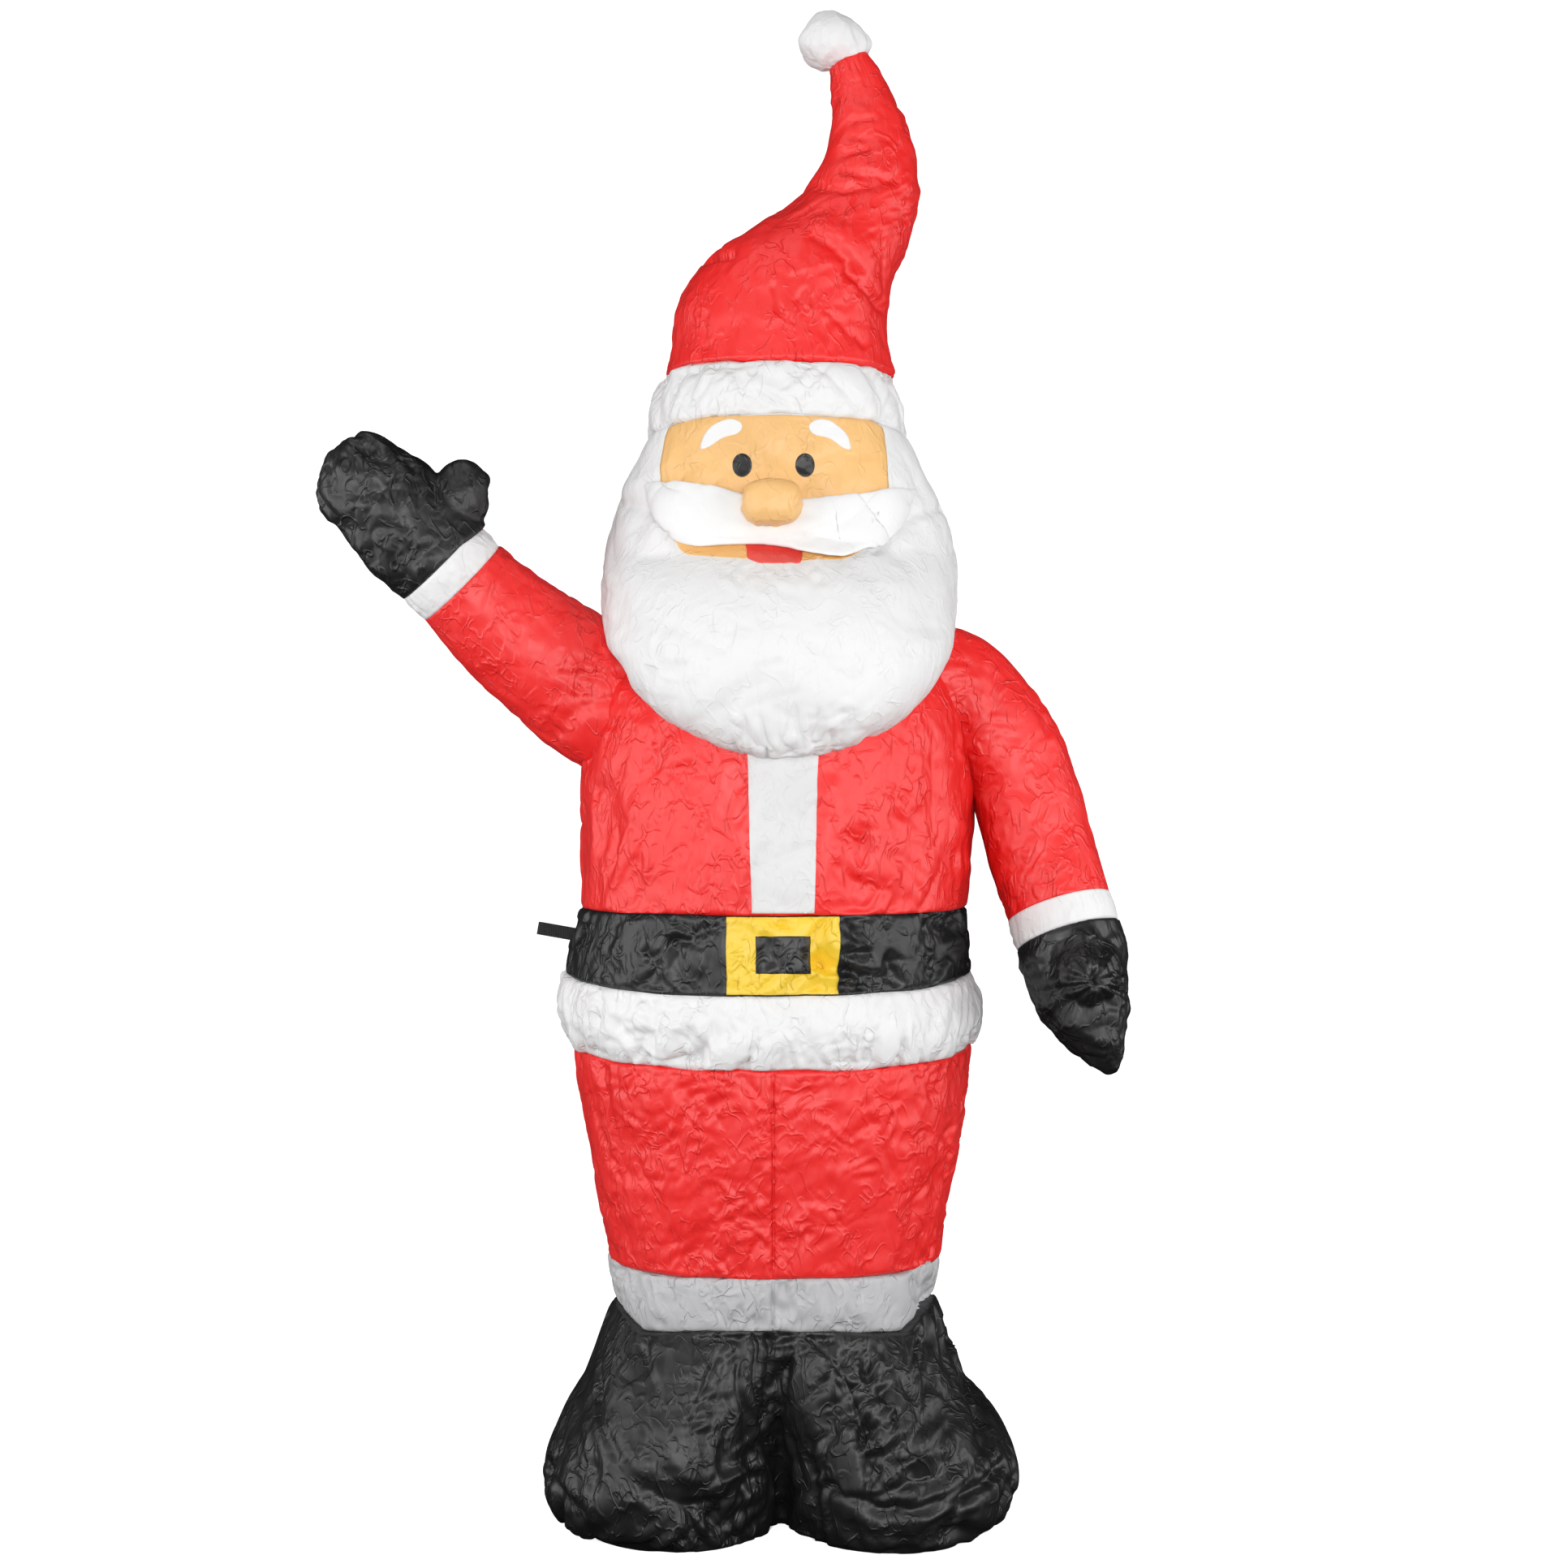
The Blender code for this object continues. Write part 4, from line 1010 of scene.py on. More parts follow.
def strip_panel(
    name, form, cloth, left, right, foot, top, material, rise=0.0010, edge=0.0004, rows=61, columns=61,
):
    """A panel between two side edges, which are functions of height: its front follows the section's
    cloth a little proud, its edges dip in, and its back lies under it."""
    t = np.linspace(0.0, 1.0, rows)[:, None]
    height = foot + (top - foot) * t
    s = np.linspace(-1.0, 1.0, columns)[None, :]
    across = left(height) * (1 - s) / 2 + right(height) * (1 + s) / 2
    place, normal = on_front(form, cloth, across, np.broadcast_to(height, across.shape))
    proud = np.minimum(edge_profile(s, rise, edge), edge_profile(t * 2 - 1, rise, edge))
    front = place + normal * proud[..., None]
    back = place - normal * PANEL_UNDER
    return tube(name, np.concatenate([front, back[:, ::-1]], axis=1), material)


def round_panel(name, form, cloth, middle, outline, material, rise=0.0012, edge=0.0006, rows=14):
    """A panel inside a closed outline across and up, in thousandths: rings shrink towards the middle,
    in front of the section's cloth, and come back behind it."""
    outline = np.asarray(outline, float)
    middle = np.asarray(middle, float)
    r = np.concatenate([np.linspace(0.03, 1.0, rows), np.linspace(1.0, 0.03, rows)])[:, None, None]
    flat = (middle + (outline - middle)[None] * r) * MILLI
    place, normal = on_front(form, cloth, flat[..., 0], flat[..., 1])
    front = np.arange(2 * rows)[:, None] < rows
    proud = np.where(front, edge_profile(r[..., 0], rise, edge), -PANEL_UNDER)
    grid = place + normal * proud[..., None]
    return tube(name, grid[:, ::-1], material)


def smooth_outline(corners, count=96):
    """A closed smooth curve through corners given across and up: a periodic cubic, going one way round."""
    corners = np.asarray(corners, float)
    n = len(corners)
    at = np.linspace(0.0, n, count, endpoint=False)
    k = np.floor(at).astype(int)
    t = (at - k)[:, None]
    a, b, c, d = (corners[(k + shift) % n] for shift in (-1, 0, 1, 2))
    return 0.5 * (2 * b + (c - a) * t + (2 * a - 5 * b + 4 * c - d) * t**2 + (3 * b - a - 3 * c + d) * t**3)


# The figure's sections

def across_distance(points, place):
    """Distance of points in front of the figure's middle from an upright line at a place across, metres."""
    return np.where(points[..., 1] < 0.0, np.abs(points[..., 0] - place), OUT_OF_REACH)


def straight_panel(name, form, points, middle, half_width, foot, top, material, **shape):
    """A panel on the front with upright edges, from its middle, half width, foot and top in metres."""
    return strip_panel(
        name, form, points, lambda h: np.full_like(h, middle - half_width),
        lambda h: np.full_like(h, middle + half_width), foot, top, material, **shape,
    )


def height_in_front(form, seam):
    """Height of a seam at the middle of the front, in metres."""
    return (seam[0] - seam[1] * form["section"](np.array([seam[0]]))[1][0]) * MILLI


def hem_line(points):
    """Slides the cloth near the seam between hem and boots up or down: in front the seam runs level, and
    towards each side it climbs. Both sections get the same move, so they stay sewn together."""
    seam = HEM_FOOT[0] * MILLI + HEM_FOOT[1] * points[..., 1]
    near = np.clip(1.0 - np.abs(points[..., 2] - seam) / 0.115, 0.0, 1.0)
    move = np.interp(np.abs(points[..., 0] + 0.004), (0.0, 0.10, 0.20, 0.262), (0.0, -0.003, -0.015, 0.028))
    result = points.copy()
    result[..., 2] += move * near * blend(0.10, -0.05, points[..., 1])
    return result


def make_boots(cloth):
    """Boots: puckered seams down each toe, long folds into the cleft, a tuck over each sole."""
    shape = boots_form()
    toe_seams = [(path_distance(shape, path), 0.005, 0.007, 0.03) for path in (RIGHT_TOE_SEAM, LEFT_TOE_SEAM)]
    tuck = path_distance(shape, LEFT_TUCK)
    dents = -0.010 * bump_at(tuck, 0.009) + 0.005 * bump_at(tuck - 0.022, 0.014)
    dents += drawn_folds(shape, ((0.007, 0.010, RIGHT_TUCK), (0.006, 0.016, GATHERED_SPOT)))
    to_cleft = np.abs(shape[..., 0] - CLEFT_PLACE * MILLI)
    folds = creases(warped(shape, 0.07, 0.018, 71), (0.03, 0.03, 0.17), 72) - 0.25
    front = blend(-0.02, -0.12, shape[..., 1])
    dents += 0.021 * folds * bump_at(to_cleft, 0.12) * front
    wide_folds = creases(warped(shape, 0.16, 0.05, 75), (0.07, 0.07, 0.12), 76) - 0.25
    dents += 0.009 * wide_folds * blend(0.0, 0.06, shape[..., 2])
    points = section_cloth(
        shape, 70, foot=(0.002, 0.05, 0.03), top=(0.006, 0.07, 0.030), seams=toe_seams, dents=dents,
        marks=0.033, mark_width=0.105, small=0.5, pull=(0.0, 0.002), hold_ends=(False, True),
    )
    points = hem_line(points)
    points[..., 2] = np.maximum(points[..., 2], 0.0)
    points[0, :, 2] = 0.0
    return dress(tube("boots_cloth", points, cloth), "black_cloth", "boots", fill=0.9)


def front_seam(name, form, points, foot, top, cloth, slot):
    """The raised thread line of a seam down the middle of the front, a few millimetres wide."""
    line = straight_panel(
        name, form, points, MIDDLE_SEAM * MILLI, SEAM_HALF_WIDTH, foot * MILLI, top * MILLI, cloth,
        rise=SEAM_RISE, edge=0.0002, rows=91, columns=7,
    )
    dress(line, slot)


def make_hem(cloth):
    """The white band over the boots, darkened to grey as painted shade because it faces down, creased where it was
    packed, with a seam down the front.
    """
    form = barrel_form(HEM_FOOT, HEM_TOP, swell=1.2)
    middle = across_distance(form["points"], MIDDLE_SEAM * MILLI)
    points = section_cloth(
        form["points"], 110, foot=(0.0015, 0.02, 0.02), top=(0.001, 0.02, 0.02),
        seams=((middle, 0.0055, 0.0030, 0.014),), marks=0.023, mark_width=0.07, pull=(0.002, 0.002),
    )
    points = hem_line(points)
    front_seam("hem_seam", form, points, HEM_FOOT[0] + 1.0, HEM_TOP[0] - 1.0, cloth, "white_cloth")
    return dress(tube("trouser_hem_cloth", points, cloth), "white_cloth", "trouser_hem", fill=0.9)


def make_trousers(cloth):
    """The red barrel: small gathers under the trim, a puckered seam down the front, packing creases."""
    form = barrel_form(HEM_TOP, TRIM_FOOT, swell=1.0)
    shape = form["points"]
    middle = across_distance(shape, MIDDLE_SEAM * MILLI)
    points = section_cloth(
        shape, 130, foot=(0.0012, 0.02, 0.022), top=(0.0035, 0.04, 0.024),
        seams=((middle, 0.0055, 0.0035, 0.018),), marks=0.0105, mark_width=0.055, pull=(0.002, 0.005),
    )
    front_seam("trousers_seam", form, points, HEM_TOP[0] + 1.0, TRIM_FOOT[0] - 9.5, cloth, "red_cloth")
    return dress(tube("trousers_cloth", points, cloth), "red_cloth", "trousers", fill=0.9)


def make_trim(cloth):
    """The white roll under the belt, gathered hard along its lower seam."""
    form = barrel_form(TRIM_FOOT, BELT_FOOT, swell=TRIM_BULGE, step=FINE_ROW_LENGTH)
    points = section_cloth(
        form["points"], 160, foot=(0.030, 0.06, 0.040), top=(0.004, 0.018, 0.02), slant=0.35,
        marks=0.0085, mark_width=0.06, pull=(0.005, 0.003),
    )
    return dress(tube("coat_trim_cloth", points, cloth), "white_cloth", "coat_trim", fill=0.9)


def make_belt(cloth, yellow):
    """The belt with its buckle: a yellow panel with a dark window, flat as sewn cloth is."""
    form = barrel_form(BELT_FOOT, BELT_TOP, swell=0.8, step=FINE_ROW_LENGTH)
    shape = form["points"]
    middle = PANEL_MIDDLE * MILLI
    edge = np.minimum(
        across_distance(shape, middle - BUCKLE_HALF_WIDTH), across_distance(shape, middle + BUCKLE_HALF_WIDTH)
    )
    points = section_cloth(
        shape, 190, foot=(0.002, 0.03, 0.024), top=(0.003, 0.03, 0.024),
        seams=((edge, 0.0016, 0.003, 0.014),), marks=0.027, mark_width=0.07, pull=(0.003, 0.002),
    )
    belt = dress(tube("belt_cloth", points, cloth), "black_cloth", "belt", fill=0.9)
    foot, top = height_in_front(form, BELT_FOOT), height_in_front(form, BELT_TOP)
    buckle = straight_panel(
        "buckle_panel", form, points, middle, BUCKLE_HALF_WIDTH, foot + 0.003, top - 0.002, yellow,
    )
    dress(buckle, "yellow_cloth", "buckle")
    centre = (foot + top) / 2 + 0.002
    window = straight_panel(
        "buckle_window", form, points, middle, BUCKLE_WINDOW_HALF_WIDTH, centre - BUCKLE_WINDOW_HALF_HEIGHT,
        centre + BUCKLE_WINDOW_HALF_HEIGHT, cloth, rise=0.0019, edge=0.0013, rows=31, columns=41,
    )
    dress(window, "black_cloth")
    return belt


def make_coat(red, white):
    """The coat with its white front band. Its top is hidden by the beard and the head."""
    form = barrel_form(BELT_TOP, COAT_TOP, swell=0.0)
    shape = form["points"]
    middle = PANEL_MIDDLE * MILLI

    def half_at(height):
        """Half the band's width at a height in metres."""
        share = np.clip((height / MILLI - BELT_TOP[0]) / (BAND_TOP - BELT_TOP[0]), 0.0, 1.0)
        return BAND_HALF_WIDTH_FOOT + (BAND_HALF_WIDTH_TOP - BAND_HALF_WIDTH_FOOT) * share

    edge = np.abs(across_distance(shape, middle) - half_at(shape[..., 2]))
    points = section_cloth(
        shape, 220, foot=(0.004, 0.05, 0.032), top=(0.002, 0.05, 0.03),
        seams=((edge, 0.0014, 0.0018, 0.014),), marks=0.015, mark_width=0.085, small=0.45,
        pull=(0.002, 0.002),
    )
    coat = dress(tube("coat_cloth", points, red), "red_cloth", "coat", fill=0.9)
    band = strip_panel(
        "front_band_cloth", form, points, lambda h: middle - half_at(h), lambda h: middle + half_at(h),
        BELT_TOP[0] * MILLI + 0.001, (BAND_TOP - 5.0) * MILLI, white, rows=91,
    )
    dress(band, "white_cloth", "front_band")
    return coat


def make_head(white, skin, black, red, bright):
    """Head, hair and beard in one white section, with the face panel and its features sewn on."""
    form = head_form()
    shape = form["points"]
    dents = drawn_folds(shape, HAIR_FOLDS)
    upright = creases(warped(shape, 0.05, 0.012, 271), (0.022, 0.022, 0.09), 272) - 0.22
    at_tip = bump_at(path_distance(shape, BEARD_TIP), 0.045)
    below_mouth = bump_at(path_distance(shape, UNDER_MOUTH), 0.028)
    dents += 0.011 * upright * at_tip + 0.008 * upright * below_mouth
    points = section_cloth(
        shape, 260, foot=(0.008, 0.12, 0.03), top=(0.002, 0.03, 0.025), dents=dents,
        marks=0.0080, mark_width=0.09, small=0.35, pull=(0.0, 0.004), hold_ends=(False, True),
    )
    dress(tube("beard_cloth", points, white), "white_cloth", "beard", fill=0.9)
    edges = np.array(FACE_EDGES) * MILLI
    face = strip_panel(
        "face_panel", form, points, lambda h: -np.interp(h, edges[:, 0], edges[:, 1]),
        lambda h: np.interp(h, edges[:, 0], edges[:, 2]), edges[0, 0], edges[-1, 0], skin,
        rows=95, columns=101,
    )
    dress(face, "skin_cloth", "face")
    ring = np.linspace(0.0, TURN, 64, endpoint=False)
    oval = np.stack([EYE_HALF_SIZE[0] * np.cos(ring), EYE_HALF_SIZE[1] * np.sin(ring)], -1)
    brow = smooth_outline(EYEBROW)
    other_brow = brow * (-1.0, 1.0) + (1.2, -0.3)
    features = [
        (name, (x, EYE_HEIGHT), oval + (x, EYE_HEIGHT), black, "black_cloth", 0.0019) for name, x in EYES
    ]
    features += [
        ("right_eyebrow", (-33.0, 707.8), brow[::-1], bright, "white_cloth", 0.0021),
        ("left_eyebrow", (34.2, 707.5), other_brow, bright, "white_cloth", 0.0021),
        ("mouth", (0.0, 630.0), smooth_outline(MOUTH), red, "red_cloth", 0.0019),
    ]
    for name, middle, outline, cloth, slot, rise in features:
        dress(round_panel(name, form, points, middle, outline, cloth, rise, 0.0013), slot)
    return form, points


def make_moustache(form, head, cloth):
    """A wide flap: lens-shaped sections from tip to tip, bent round the head, creased near the nose."""
    columns = 72
    ends = MOUSTACHE[0][0], MOUSTACHE[-1][0]
    share = np.sin(np.linspace(-0.5, 0.5, 181) * math.pi)
    across = (ends[0] + ends[1]) / 2 + share * (ends[1] - ends[0]) / 2
    top, foot = through(MOUSTACHE, across)
    angle = TURN / 4 + TURN * np.arange(columns) / columns
    c, s = np.cos(angle)[None, :], np.sin(angle)[None, :]
    s_flat = np.sign(s) * np.abs(s) ** 0.8
    height = ((top + foot) / 2)[:, None] + ((top - foot) / 2)[:, None] * s_flat
    x = np.broadcast_to(across[:, None], height.shape)
    place, normal = on_front(form, head, x * MILLI, height * MILLI)
    thick = 4.6 * (1.0 - np.abs(share[:, None]) ** 6 * 0.8)
    lift = (thick * (1.0 - c) + 0.6) * MILLI
    folds = creases(warped(place, 0.05, 0.012, 311), (0.045, 0.03, 0.028), 312) - 0.25
    near_nose = bump_at(np.abs(across[:, None] + 1.4) * MILLI, 0.10)
    lift += (c < 0) * (0.003 * folds * (0.2 + near_nose) + 0.0005 * crumple(place, 0.045, 315)) * np.abs(c) ** 0.5
    grid = place + normal * lift[..., None]
    piece = tube("moustache_cloth", grid, cloth)
    return dress(piece, "white_cloth", "moustache", fill=0.5)


def make_nose(cloth):
    """A round nose, gathered at its rim."""
    rows, columns = 61, 128
    polar = np.linspace(NOSE_END, math.pi - NOSE_END, rows)[:, None]
    angle = (TURN * np.arange(columns) / columns)[None, :]
    way = np.stack(
        [np.sin(polar) * np.cos(angle), -np.cos(polar) * np.ones_like(angle), np.sin(polar) * np.sin(angle)], -1
    )
    squarish = (np.abs(way) ** NOSE_SQUARENESS).sum(-1, keepdims=True) ** (-1.0 / NOSE_SQUARENESS)
    points = (np.array(NOSE_MIDDLE) + way * squarish * np.array(NOSE_HALF_SIZE)) * MILLI
    round_it = np.stack(np.broadcast_arrays(np.cos(angle), np.sin(angle), polar * 0.2), -1)
    gather = creases(round_it, 0.32, 402)
    rim = bump_at(polar - NOSE_RIM, 0.45)
    points += way * (0.0055 * (gather - 0.3) * rim + 0.0012 * crumple(points, 0.03, 403))[..., None]
    return dress(tube("nose_cloth", points[:, ::-1], cloth), "skin_cloth", "nose", fill=0.8)


def make_brim(cloth):
    """The white roll round the hat, with deep slanting gathers."""
    shape = brim_form()
    points = section_cloth(
        shape, 290, foot=(0.006, 0.025, 0.03), top=(0.024, 0.07, 0.07), slant=0.7,
        marks=0.0060, mark_width=0.07, pull=(0.004, 0.012),
    )
    return dress(tube("hat_brim_cloth", points, cloth), "white_cloth", "hat_brim", fill=0.9)


def make_hat(cloth):
    """The hat: smooth below, kinked on its right side, and slack and creased towards its tip."""
    shape = hat_form()
    slack = blend(*HAT_SLACK, shape[..., 2] / MILLI)
    dents = 0.006 * slack * (creases(warped(shape, 0.12, 0.04, 331), (0.07, 0.07, 0.05), 332) - 0.3)
    dents += drawn_folds(shape, HAT_FOLDS)
    points = section_cloth(
        shape, 330, foot=(0.001, 0.02, 0.025), top=(0.003, 0.04, 0.012),
        dents=dents, marks=0.0050 + 0.0020 * slack, mark_width=0.075, pull=(0.012, 0.002),
    )
    return dress(tube("hat_cloth", points, cloth), "red_cloth", "hat", fill=0.7)


def make_bobble(cloth):
    """The bobble, gathered on to the hat's end."""
    tip = HAT[-1]
    root = np.array((tip[3], HAT_DRIFT_TO_BACK, tip[0]))
    across = unit(np.array((1.0, 0.0, HAT_END_TILT)))
    outward = np.cross(across, BACK)
    if outward[2] < 0.0:
        outward = -outward
    stations = [(share, radius, radius, drift) for share, radius, drift in BOBBLE]
    shape = swept_form(root, outward, -across, BACK, stations, BOBBLE_LENGTH, BOBBLE_COLUMNS, 0.0025)
    gather, _ = runs(shape)
    dents = 0.008 * (creases(shape, (0.020, 0.020, 0.08), 352) - 0.3) * np.exp(-gather / 0.035)
    dents += 0.009 * (creases(shape, (0.06, 0.06, 0.06), 357) - 0.3) + 0.0035 * crumple(shape, 0.05, 355)
    shape = shape + normals_of(shape) * dents[..., None]
    return dress(tube("bobble_cloth", shape, cloth), "white_cloth", "bobble", fill=0.8)


def make_arm(side, arm, red, white):
    """A sleeve, slack where it leaves the coat, and its cuff."""
    shape = sleeve_form(arm)
    seed = 410 if side == "right" else 440
    points = section_cloth(
        shape, seed, foot=(0.004, 0.10, 0.04), top=(0.002, 0.03, 0.022),
        marks=0.0085, mark_width=0.06, small=0.4, hold_ends=(False, False),
    )
    points[-1] = shape[-1]
    dress(tube(side + "_sleeve_cloth", points, red), "red_cloth", side + "_sleeve", fill=0.9)
    ring = cuff_form(arm)
    cuff = section_cloth(
        ring, seed + 15, foot=(0.001, 0.02, 0.018), top=(0.0015, 0.02, 0.018),
        marks=0.0045, mark_width=0.035, hold_ends=(False, False),
    )
    cuff[0], cuff[-1] = ring[0], ring[-1]
    dress(tube(side + "_cuff_cloth", cuff, white), "white_cloth", side + "_cuff", fill=0.9)


def joined_cloth(name, grids, material):
    """One closed skin round several grids: they are filled with small cells and given a new surface."""
    parts = [tube(name + "_part", grid, material) for grid in grids]
    points, faces, start = [], [], 0
    for part in parts:
        mesh = part.data
        co = np.empty(len(mesh.vertices) * 3, np.float32)
        mesh.vertices.foreach_get("co", co)
        mesh.calc_loop_triangles()
        tris = np.empty(len(mesh.loop_triangles) * 3, np.int32)
        mesh.loop_triangles.foreach_get("vertices", tris)
        points.append(co.reshape(-1, 3))
        faces.append(tris.reshape(-1, 3) + start)
        start += len(mesh.vertices)
        bpy.data.objects.remove(part)
    whole = mesh_of(name, np.concatenate(points), (np.concatenate(faces),), material)
    remesh = whole.modifiers.new("skin", "REMESH")
    remesh.mode = "VOXEL"
    remesh.voxel_size = MITTEN_CELL
    even = whole.modifiers.new("even", "SMOOTH")
    even.factor = 0.5
    even.iterations = 6
    bpy.context.view_layer.update()
    finished = bpy.data.meshes.new_from_object(whole.evaluated_get(bpy.context.evaluated_depsgraph_get()))
    whole.modifiers.clear()
    whole.data = finished
    finished.shade_smooth()
    if not finished.materials:
        finished.materials.append(material)
    return whole


def mesh_points(piece):
    """A mesh's points and normals as arrays."""
    mesh = piece.data
    co = np.empty(len(mesh.vertices) * 3, np.float32)
    mesh.vertices.foreach_get("co", co)
    normals = np.empty(len(mesh.vertices) * 3, np.float32)
    mesh.vertex_normals.foreach_get("vector", normals)
    return co.reshape(-1, 3).astype(float), normals.reshape(-1, 3).astype(float)


def set_points(piece, points):
    """Puts an array of points into a mesh."""
    piece.data.vertices.foreach_set("co", np.ascontiguousarray(points, np.float32).reshape(-1))
    piece.data.update()


def make_mittens(cloth):
    """Both mittens: palm and thumb in one skin, creased from packing. The left one is gathered to a
    point on its front, where folds run out from a dimple."""
    for side, arm, stations, length, thumb in (
        ("right", RIGHT_ARM, RIGHT_MITTEN, RIGHT_MITTEN_LENGTH, RIGHT_THUMB),
        ("left", LEFT_ARM, LEFT_MITTEN, LEFT_MITTEN_LENGTH, LEFT_THUMB),
    ):
        wrist, along, across, behind = arm_frame(arm)
        root = wrist + along * CUFF_LENGTH
        palm = swept_form(root, along, across, behind, stations, length, PALM_COLUMNS, 0.004)
        thumb_side = across if side == "right" else -behind
        grids = (palm, thumb_form(root, along, thumb_side, thumb))
        piece = joined_cloth(side + "_mitten_cloth", grids, cloth)
        points, normals = mesh_points(piece)
        seed = 470 if side == "right" else 490
        from_root = (points - root * MILLI) @ along
        free = blend(0.004, 0.03, from_root)
        folds = creases(warped(points, 0.09, 0.025, seed), (0.06, 0.06, 0.06), seed + 4) - 0.27
        rise = 0.012 * folds + 0.0045 * crumple(points, 0.05, seed + 9)
        gathers = creases(points, 0.02, seed + 12) - 0.25
        rise += 0.004 * gathers * np.exp(-from_root / 0.03)
        if side == "left":
            heart = np.array(MITTEN_POINT) * MILLI
            flat = (points - heart)[:, (0, 2)]
            radius = np.linalg.norm(flat, axis=1)
            turn = np.arctan2(flat[:, 1], flat[:, 0])
            spokes = np.abs(np.sin(turn * 4.5 + 0.8 * np.sin(turn * 2.0))) + 0.5 * np.abs(np.sin(turn * 7.0 + 1.0))
            front = points[:, 1] < heart[1] + 0.10
            rise += front * (0.010 * (spokes - 0.7) * np.exp(-radius / 0.055) * blend(0.0, 0.012, radius))
            rise -= front * 0.016 * bump_at(np.linalg.norm(flat - (0.0, 0.012), axis=1), 0.010)
            rise += drawn_folds(points, ((0.004, 0.004, MITTEN_SEAM),))
        else:
            rise += 0.008 * (creases(points, 0.032, seed + 15) - 0.25) * blend(0.185, 0.235, from_root)
        points += normals * (rise * free)[:, None]
        if side == "left":
            up = points[:, 2] / MILLI
            outer = blend(203.0, 222.0, points[:, 0] / MILLI) * bump_at(up - 350.0, 34.0)
            points[:, 0] += 0.012 * outer
            points[:, 2] += 0.013 * blend(340.0, 292.0, up)
        else:
            across_place, up = points[:, 0] / MILLI, points[:, 2] / MILLI
            points[:, 0] += 0.013 * bump_at(up - 653.0, 18.75) * blend(-214.0, -194.0, across_place)
            corner = (root + along * 23.0 + across * 60.0) * MILLI
            drawn = np.exp(-((np.linalg.norm(points - corner, axis=1) / 0.026) ** 2))
            points += drawn[:, None] * (across * 0.007 - along * 0.014)
        set_points(piece, points)
        dress(piece, "black_cloth", side + "_mitten", fill=0.8)


# The studio

def flat_panel(name, middle, size, height, strength):
    """A soft area light that faces the figure's middle line at a height."""
    light = bpy.data.lights.new(name, "AREA")
    light.shape = "RECTANGLE"
    light.size, light.size_y = size
    light.energy = strength
    lamp = bpy.data.objects.new(name, light)
    lamp.location = middle
    lamp.rotation_euler = (Vector((0.0, 0.0, height)) - Vector(middle)).to_track_quat("-Z", "Y").to_euler()
    bpy.context.scene.collection.objects.link(lamp)


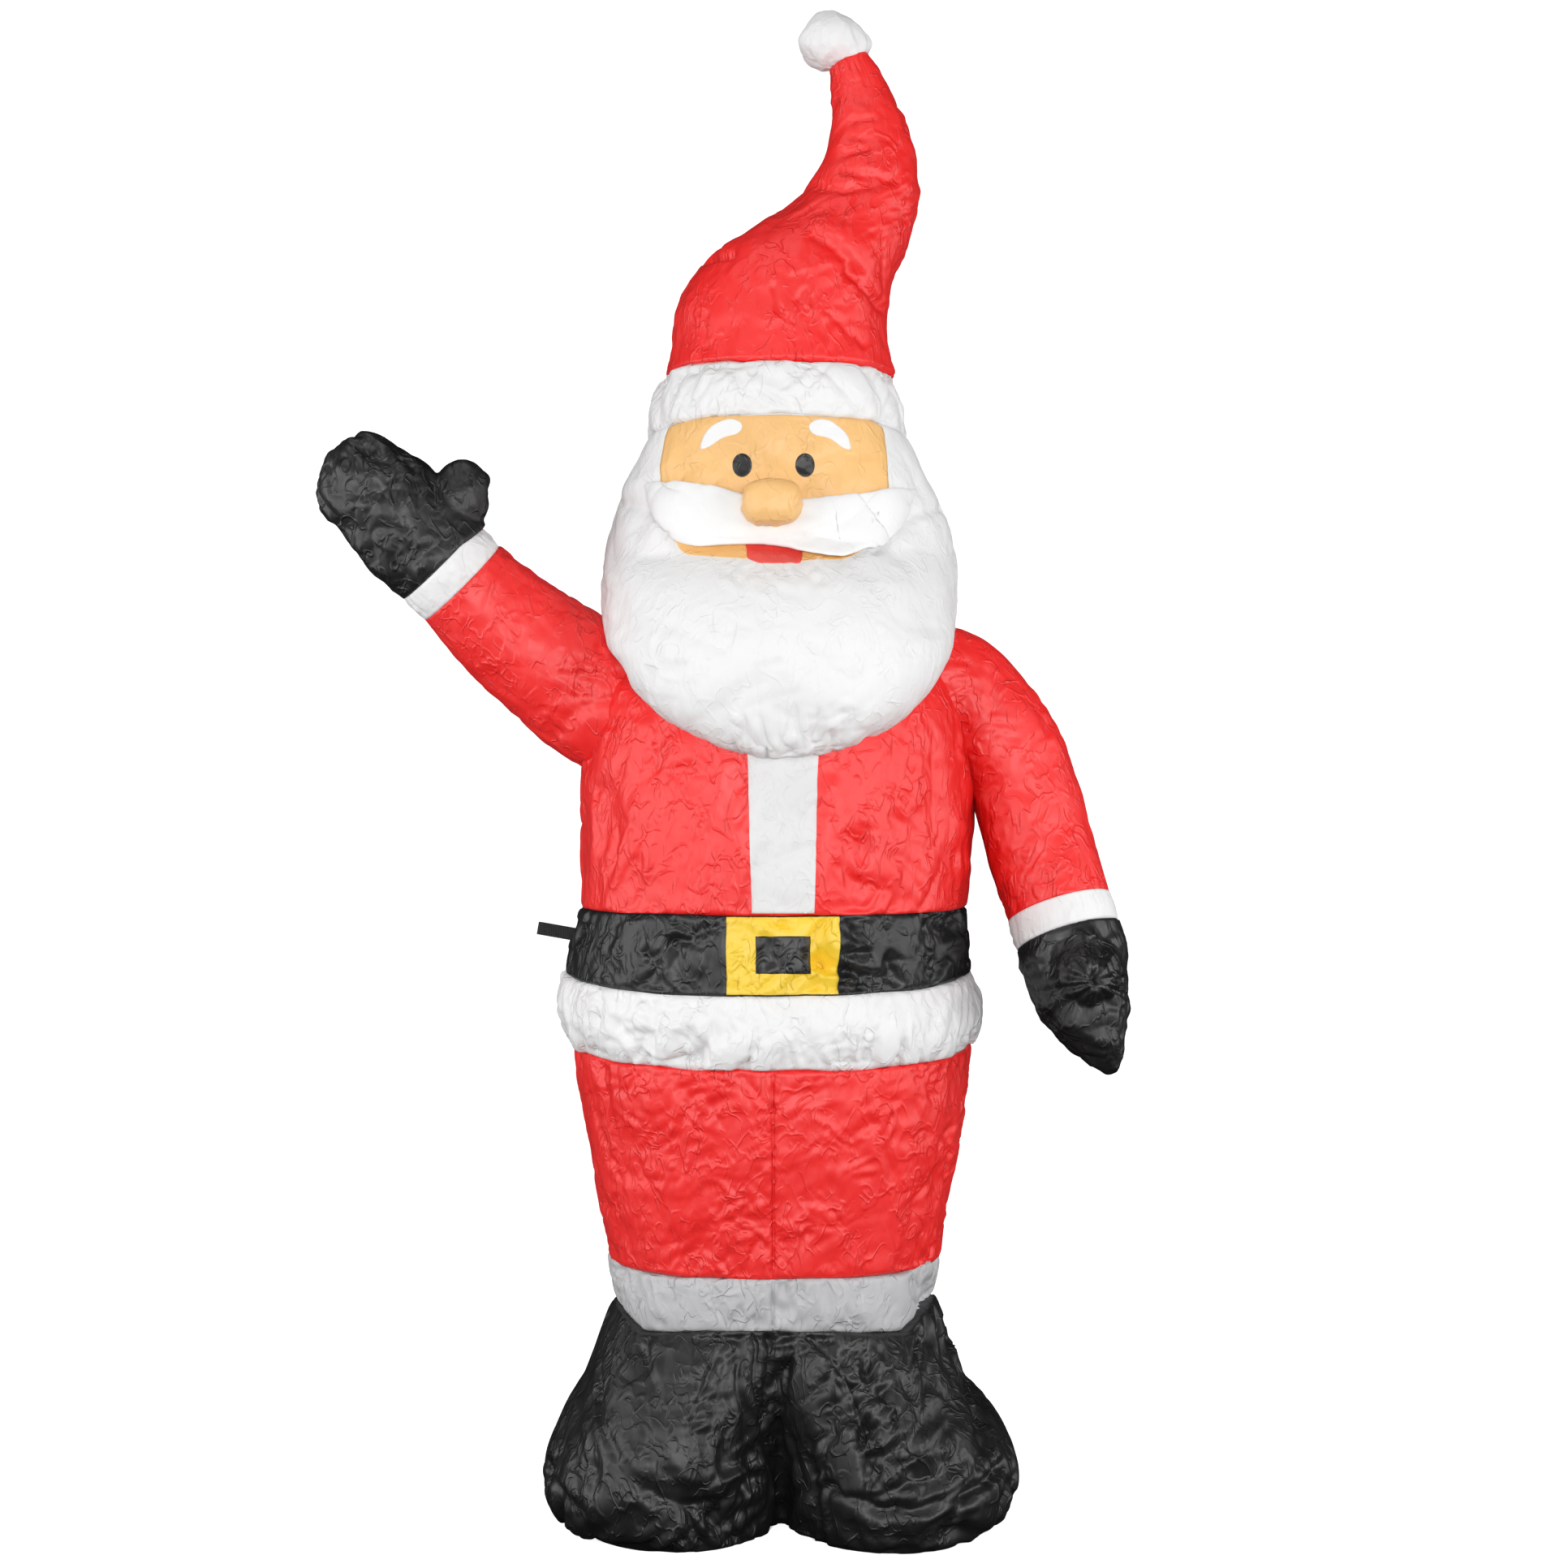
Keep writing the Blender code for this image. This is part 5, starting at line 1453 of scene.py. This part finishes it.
def make_studio():
    """A round white floor that curves up into a wall, soft lights round the front, and the
    photograph's camera."""
    bend = np.linspace(0.1, math.pi / 2, 12)
    far = STUDIO_RADIUS + STUDIO_BEND
    radius = np.concatenate(((1.0, STUDIO_RADIUS), STUDIO_RADIUS + STUDIO_BEND * np.sin(bend), (far,)))[:, None]
    height = np.concatenate(((0.0, 0.0), STUDIO_BEND - STUDIO_BEND * np.cos(bend), (STUDIO_HEIGHT,)))[:, None]
    around = np.linspace(0.0, TURN, STUDIO_COLUMNS, endpoint=False)
    rings = np.broadcast_arrays(radius * np.cos(around), radius * np.sin(around), height)
    faces = grid_faces(len(radius), STUDIO_COLUMNS)[:, ::-1]
    paper = bpy.data.materials.new("white paper")
    paper.use_nodes = True
    shader = paper.node_tree.nodes["Principled BSDF"]
    shader.inputs["Base Color"].default_value = (0.9, 0.9, 0.9, 1.0)
    shader.inputs["Roughness"].default_value = 0.9
    shader.inputs["Emission Color"].default_value = (1.0, 1.0, 1.0, 1.0)
    shader.inputs["Emission Strength"].default_value = 0.85
    middle = np.arange(STUDIO_COLUMNS)[None, :]
    floor = mesh_of("studio_floor", np.stack(rings, -1).reshape(-1, 3), (faces, middle), paper)
    floor.visible_glossy = False
    floor.visible_diffuse = False

    world = bpy.data.worlds.new("studio")
    world.use_nodes = True
    world.node_tree.nodes["Background"].inputs["Color"].default_value = (1.0, 1.0, 1.0, 1.0)
    world.node_tree.nodes["Background"].inputs["Strength"].default_value = 0.36
    world.cycles_visibility.glossy = False
    bpy.context.scene.world = world
    for light in LIGHTS:
        flat_panel(*light)

    lens = bpy.data.cameras.new("camera")
    lens.lens = LENS
    lens.sensor_width = 36.0
    camera = bpy.data.objects.new("camera", lens)
    camera.location = CAMERA_PLACE
    camera.rotation_euler = (math.radians(90.0), 0.0, 0.0)
    bpy.context.scene.collection.objects.link(camera)
    bpy.context.scene.camera = camera
    bpy.context.scene.view_settings.view_transform = "Standard"


def build():
    """Makes every section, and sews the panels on."""
    red = fabric("red polyester", (0.90, 0.005, 0.0035), vary=0.03, crinkle=0.8)
    mouth_red = fabric("mouth polyester", (0.85, 0.06, 0.045), crinkle=0.3)
    black = fabric(
        "black polyester", (0.0075, 0.0075, 0.008), roughness=0.46, vary=0.15, crinkle=0.9, specular=0.9
    )
    yellow = fabric("yellow polyester", (0.90, 0.60, 0.02))
    skin = fabric("skin-coloured polyester", (0.88, 0.51, 0.18), vary=0.06, crinkle=0.6)
    white, smooth_white, placket_white, gathered_white = (
        fabric(name, (share,) * 3, roughness=roughness, vary=vary, crinkle=crinkle, specular=specular)
        for name, share, roughness, vary, crinkle, specular in (
            ("white polyester", 0.80, 0.58, 0.02, 0.42, 0.5),
            ("flat white polyester", 0.83, 0.58, 0.01, 0.15, 0.5),
            ("front band polyester", 0.73, 0.58, 0.02, 0.4, 0.5),
            ("gathered white polyester", 0.80, 0.56, 0.02, 0.7, 0.6),
        )
    )
    # Painted shade: the hem's white cloth is made grey, as the shade of a band that faces down.
    hem_painted_shade_white = fabric("white polyester darkened as painted shade", (0.51, 0.51, 0.52), roughness=0.55, specular=0.5)
    strap = webbing("black webbing", (0.012, 0.012, 0.012))
    make_boots(black)
    make_hem(hem_painted_shade_white)
    make_trousers(red)
    make_trim(gathered_white)
    make_belt(black, yellow)
    make_coat(red, placket_white)
    form, head = make_head(white, skin, black, mouth_red, smooth_white)
    make_moustache(form, head, smooth_white)
    make_nose(skin)
    make_brim(gathered_white)
    make_hat(red)
    make_bobble(white)
    make_arm("right", RIGHT_ARM, red, white)
    make_arm("left", LEFT_ARM, red, white)
    make_mittens(black)
    for node in ("right_tether_loop", "left_tether_loop"):
        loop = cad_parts[node]
        loop.data.materials.clear()
        loop.data.materials.append(strap)
    make_studio()


build()
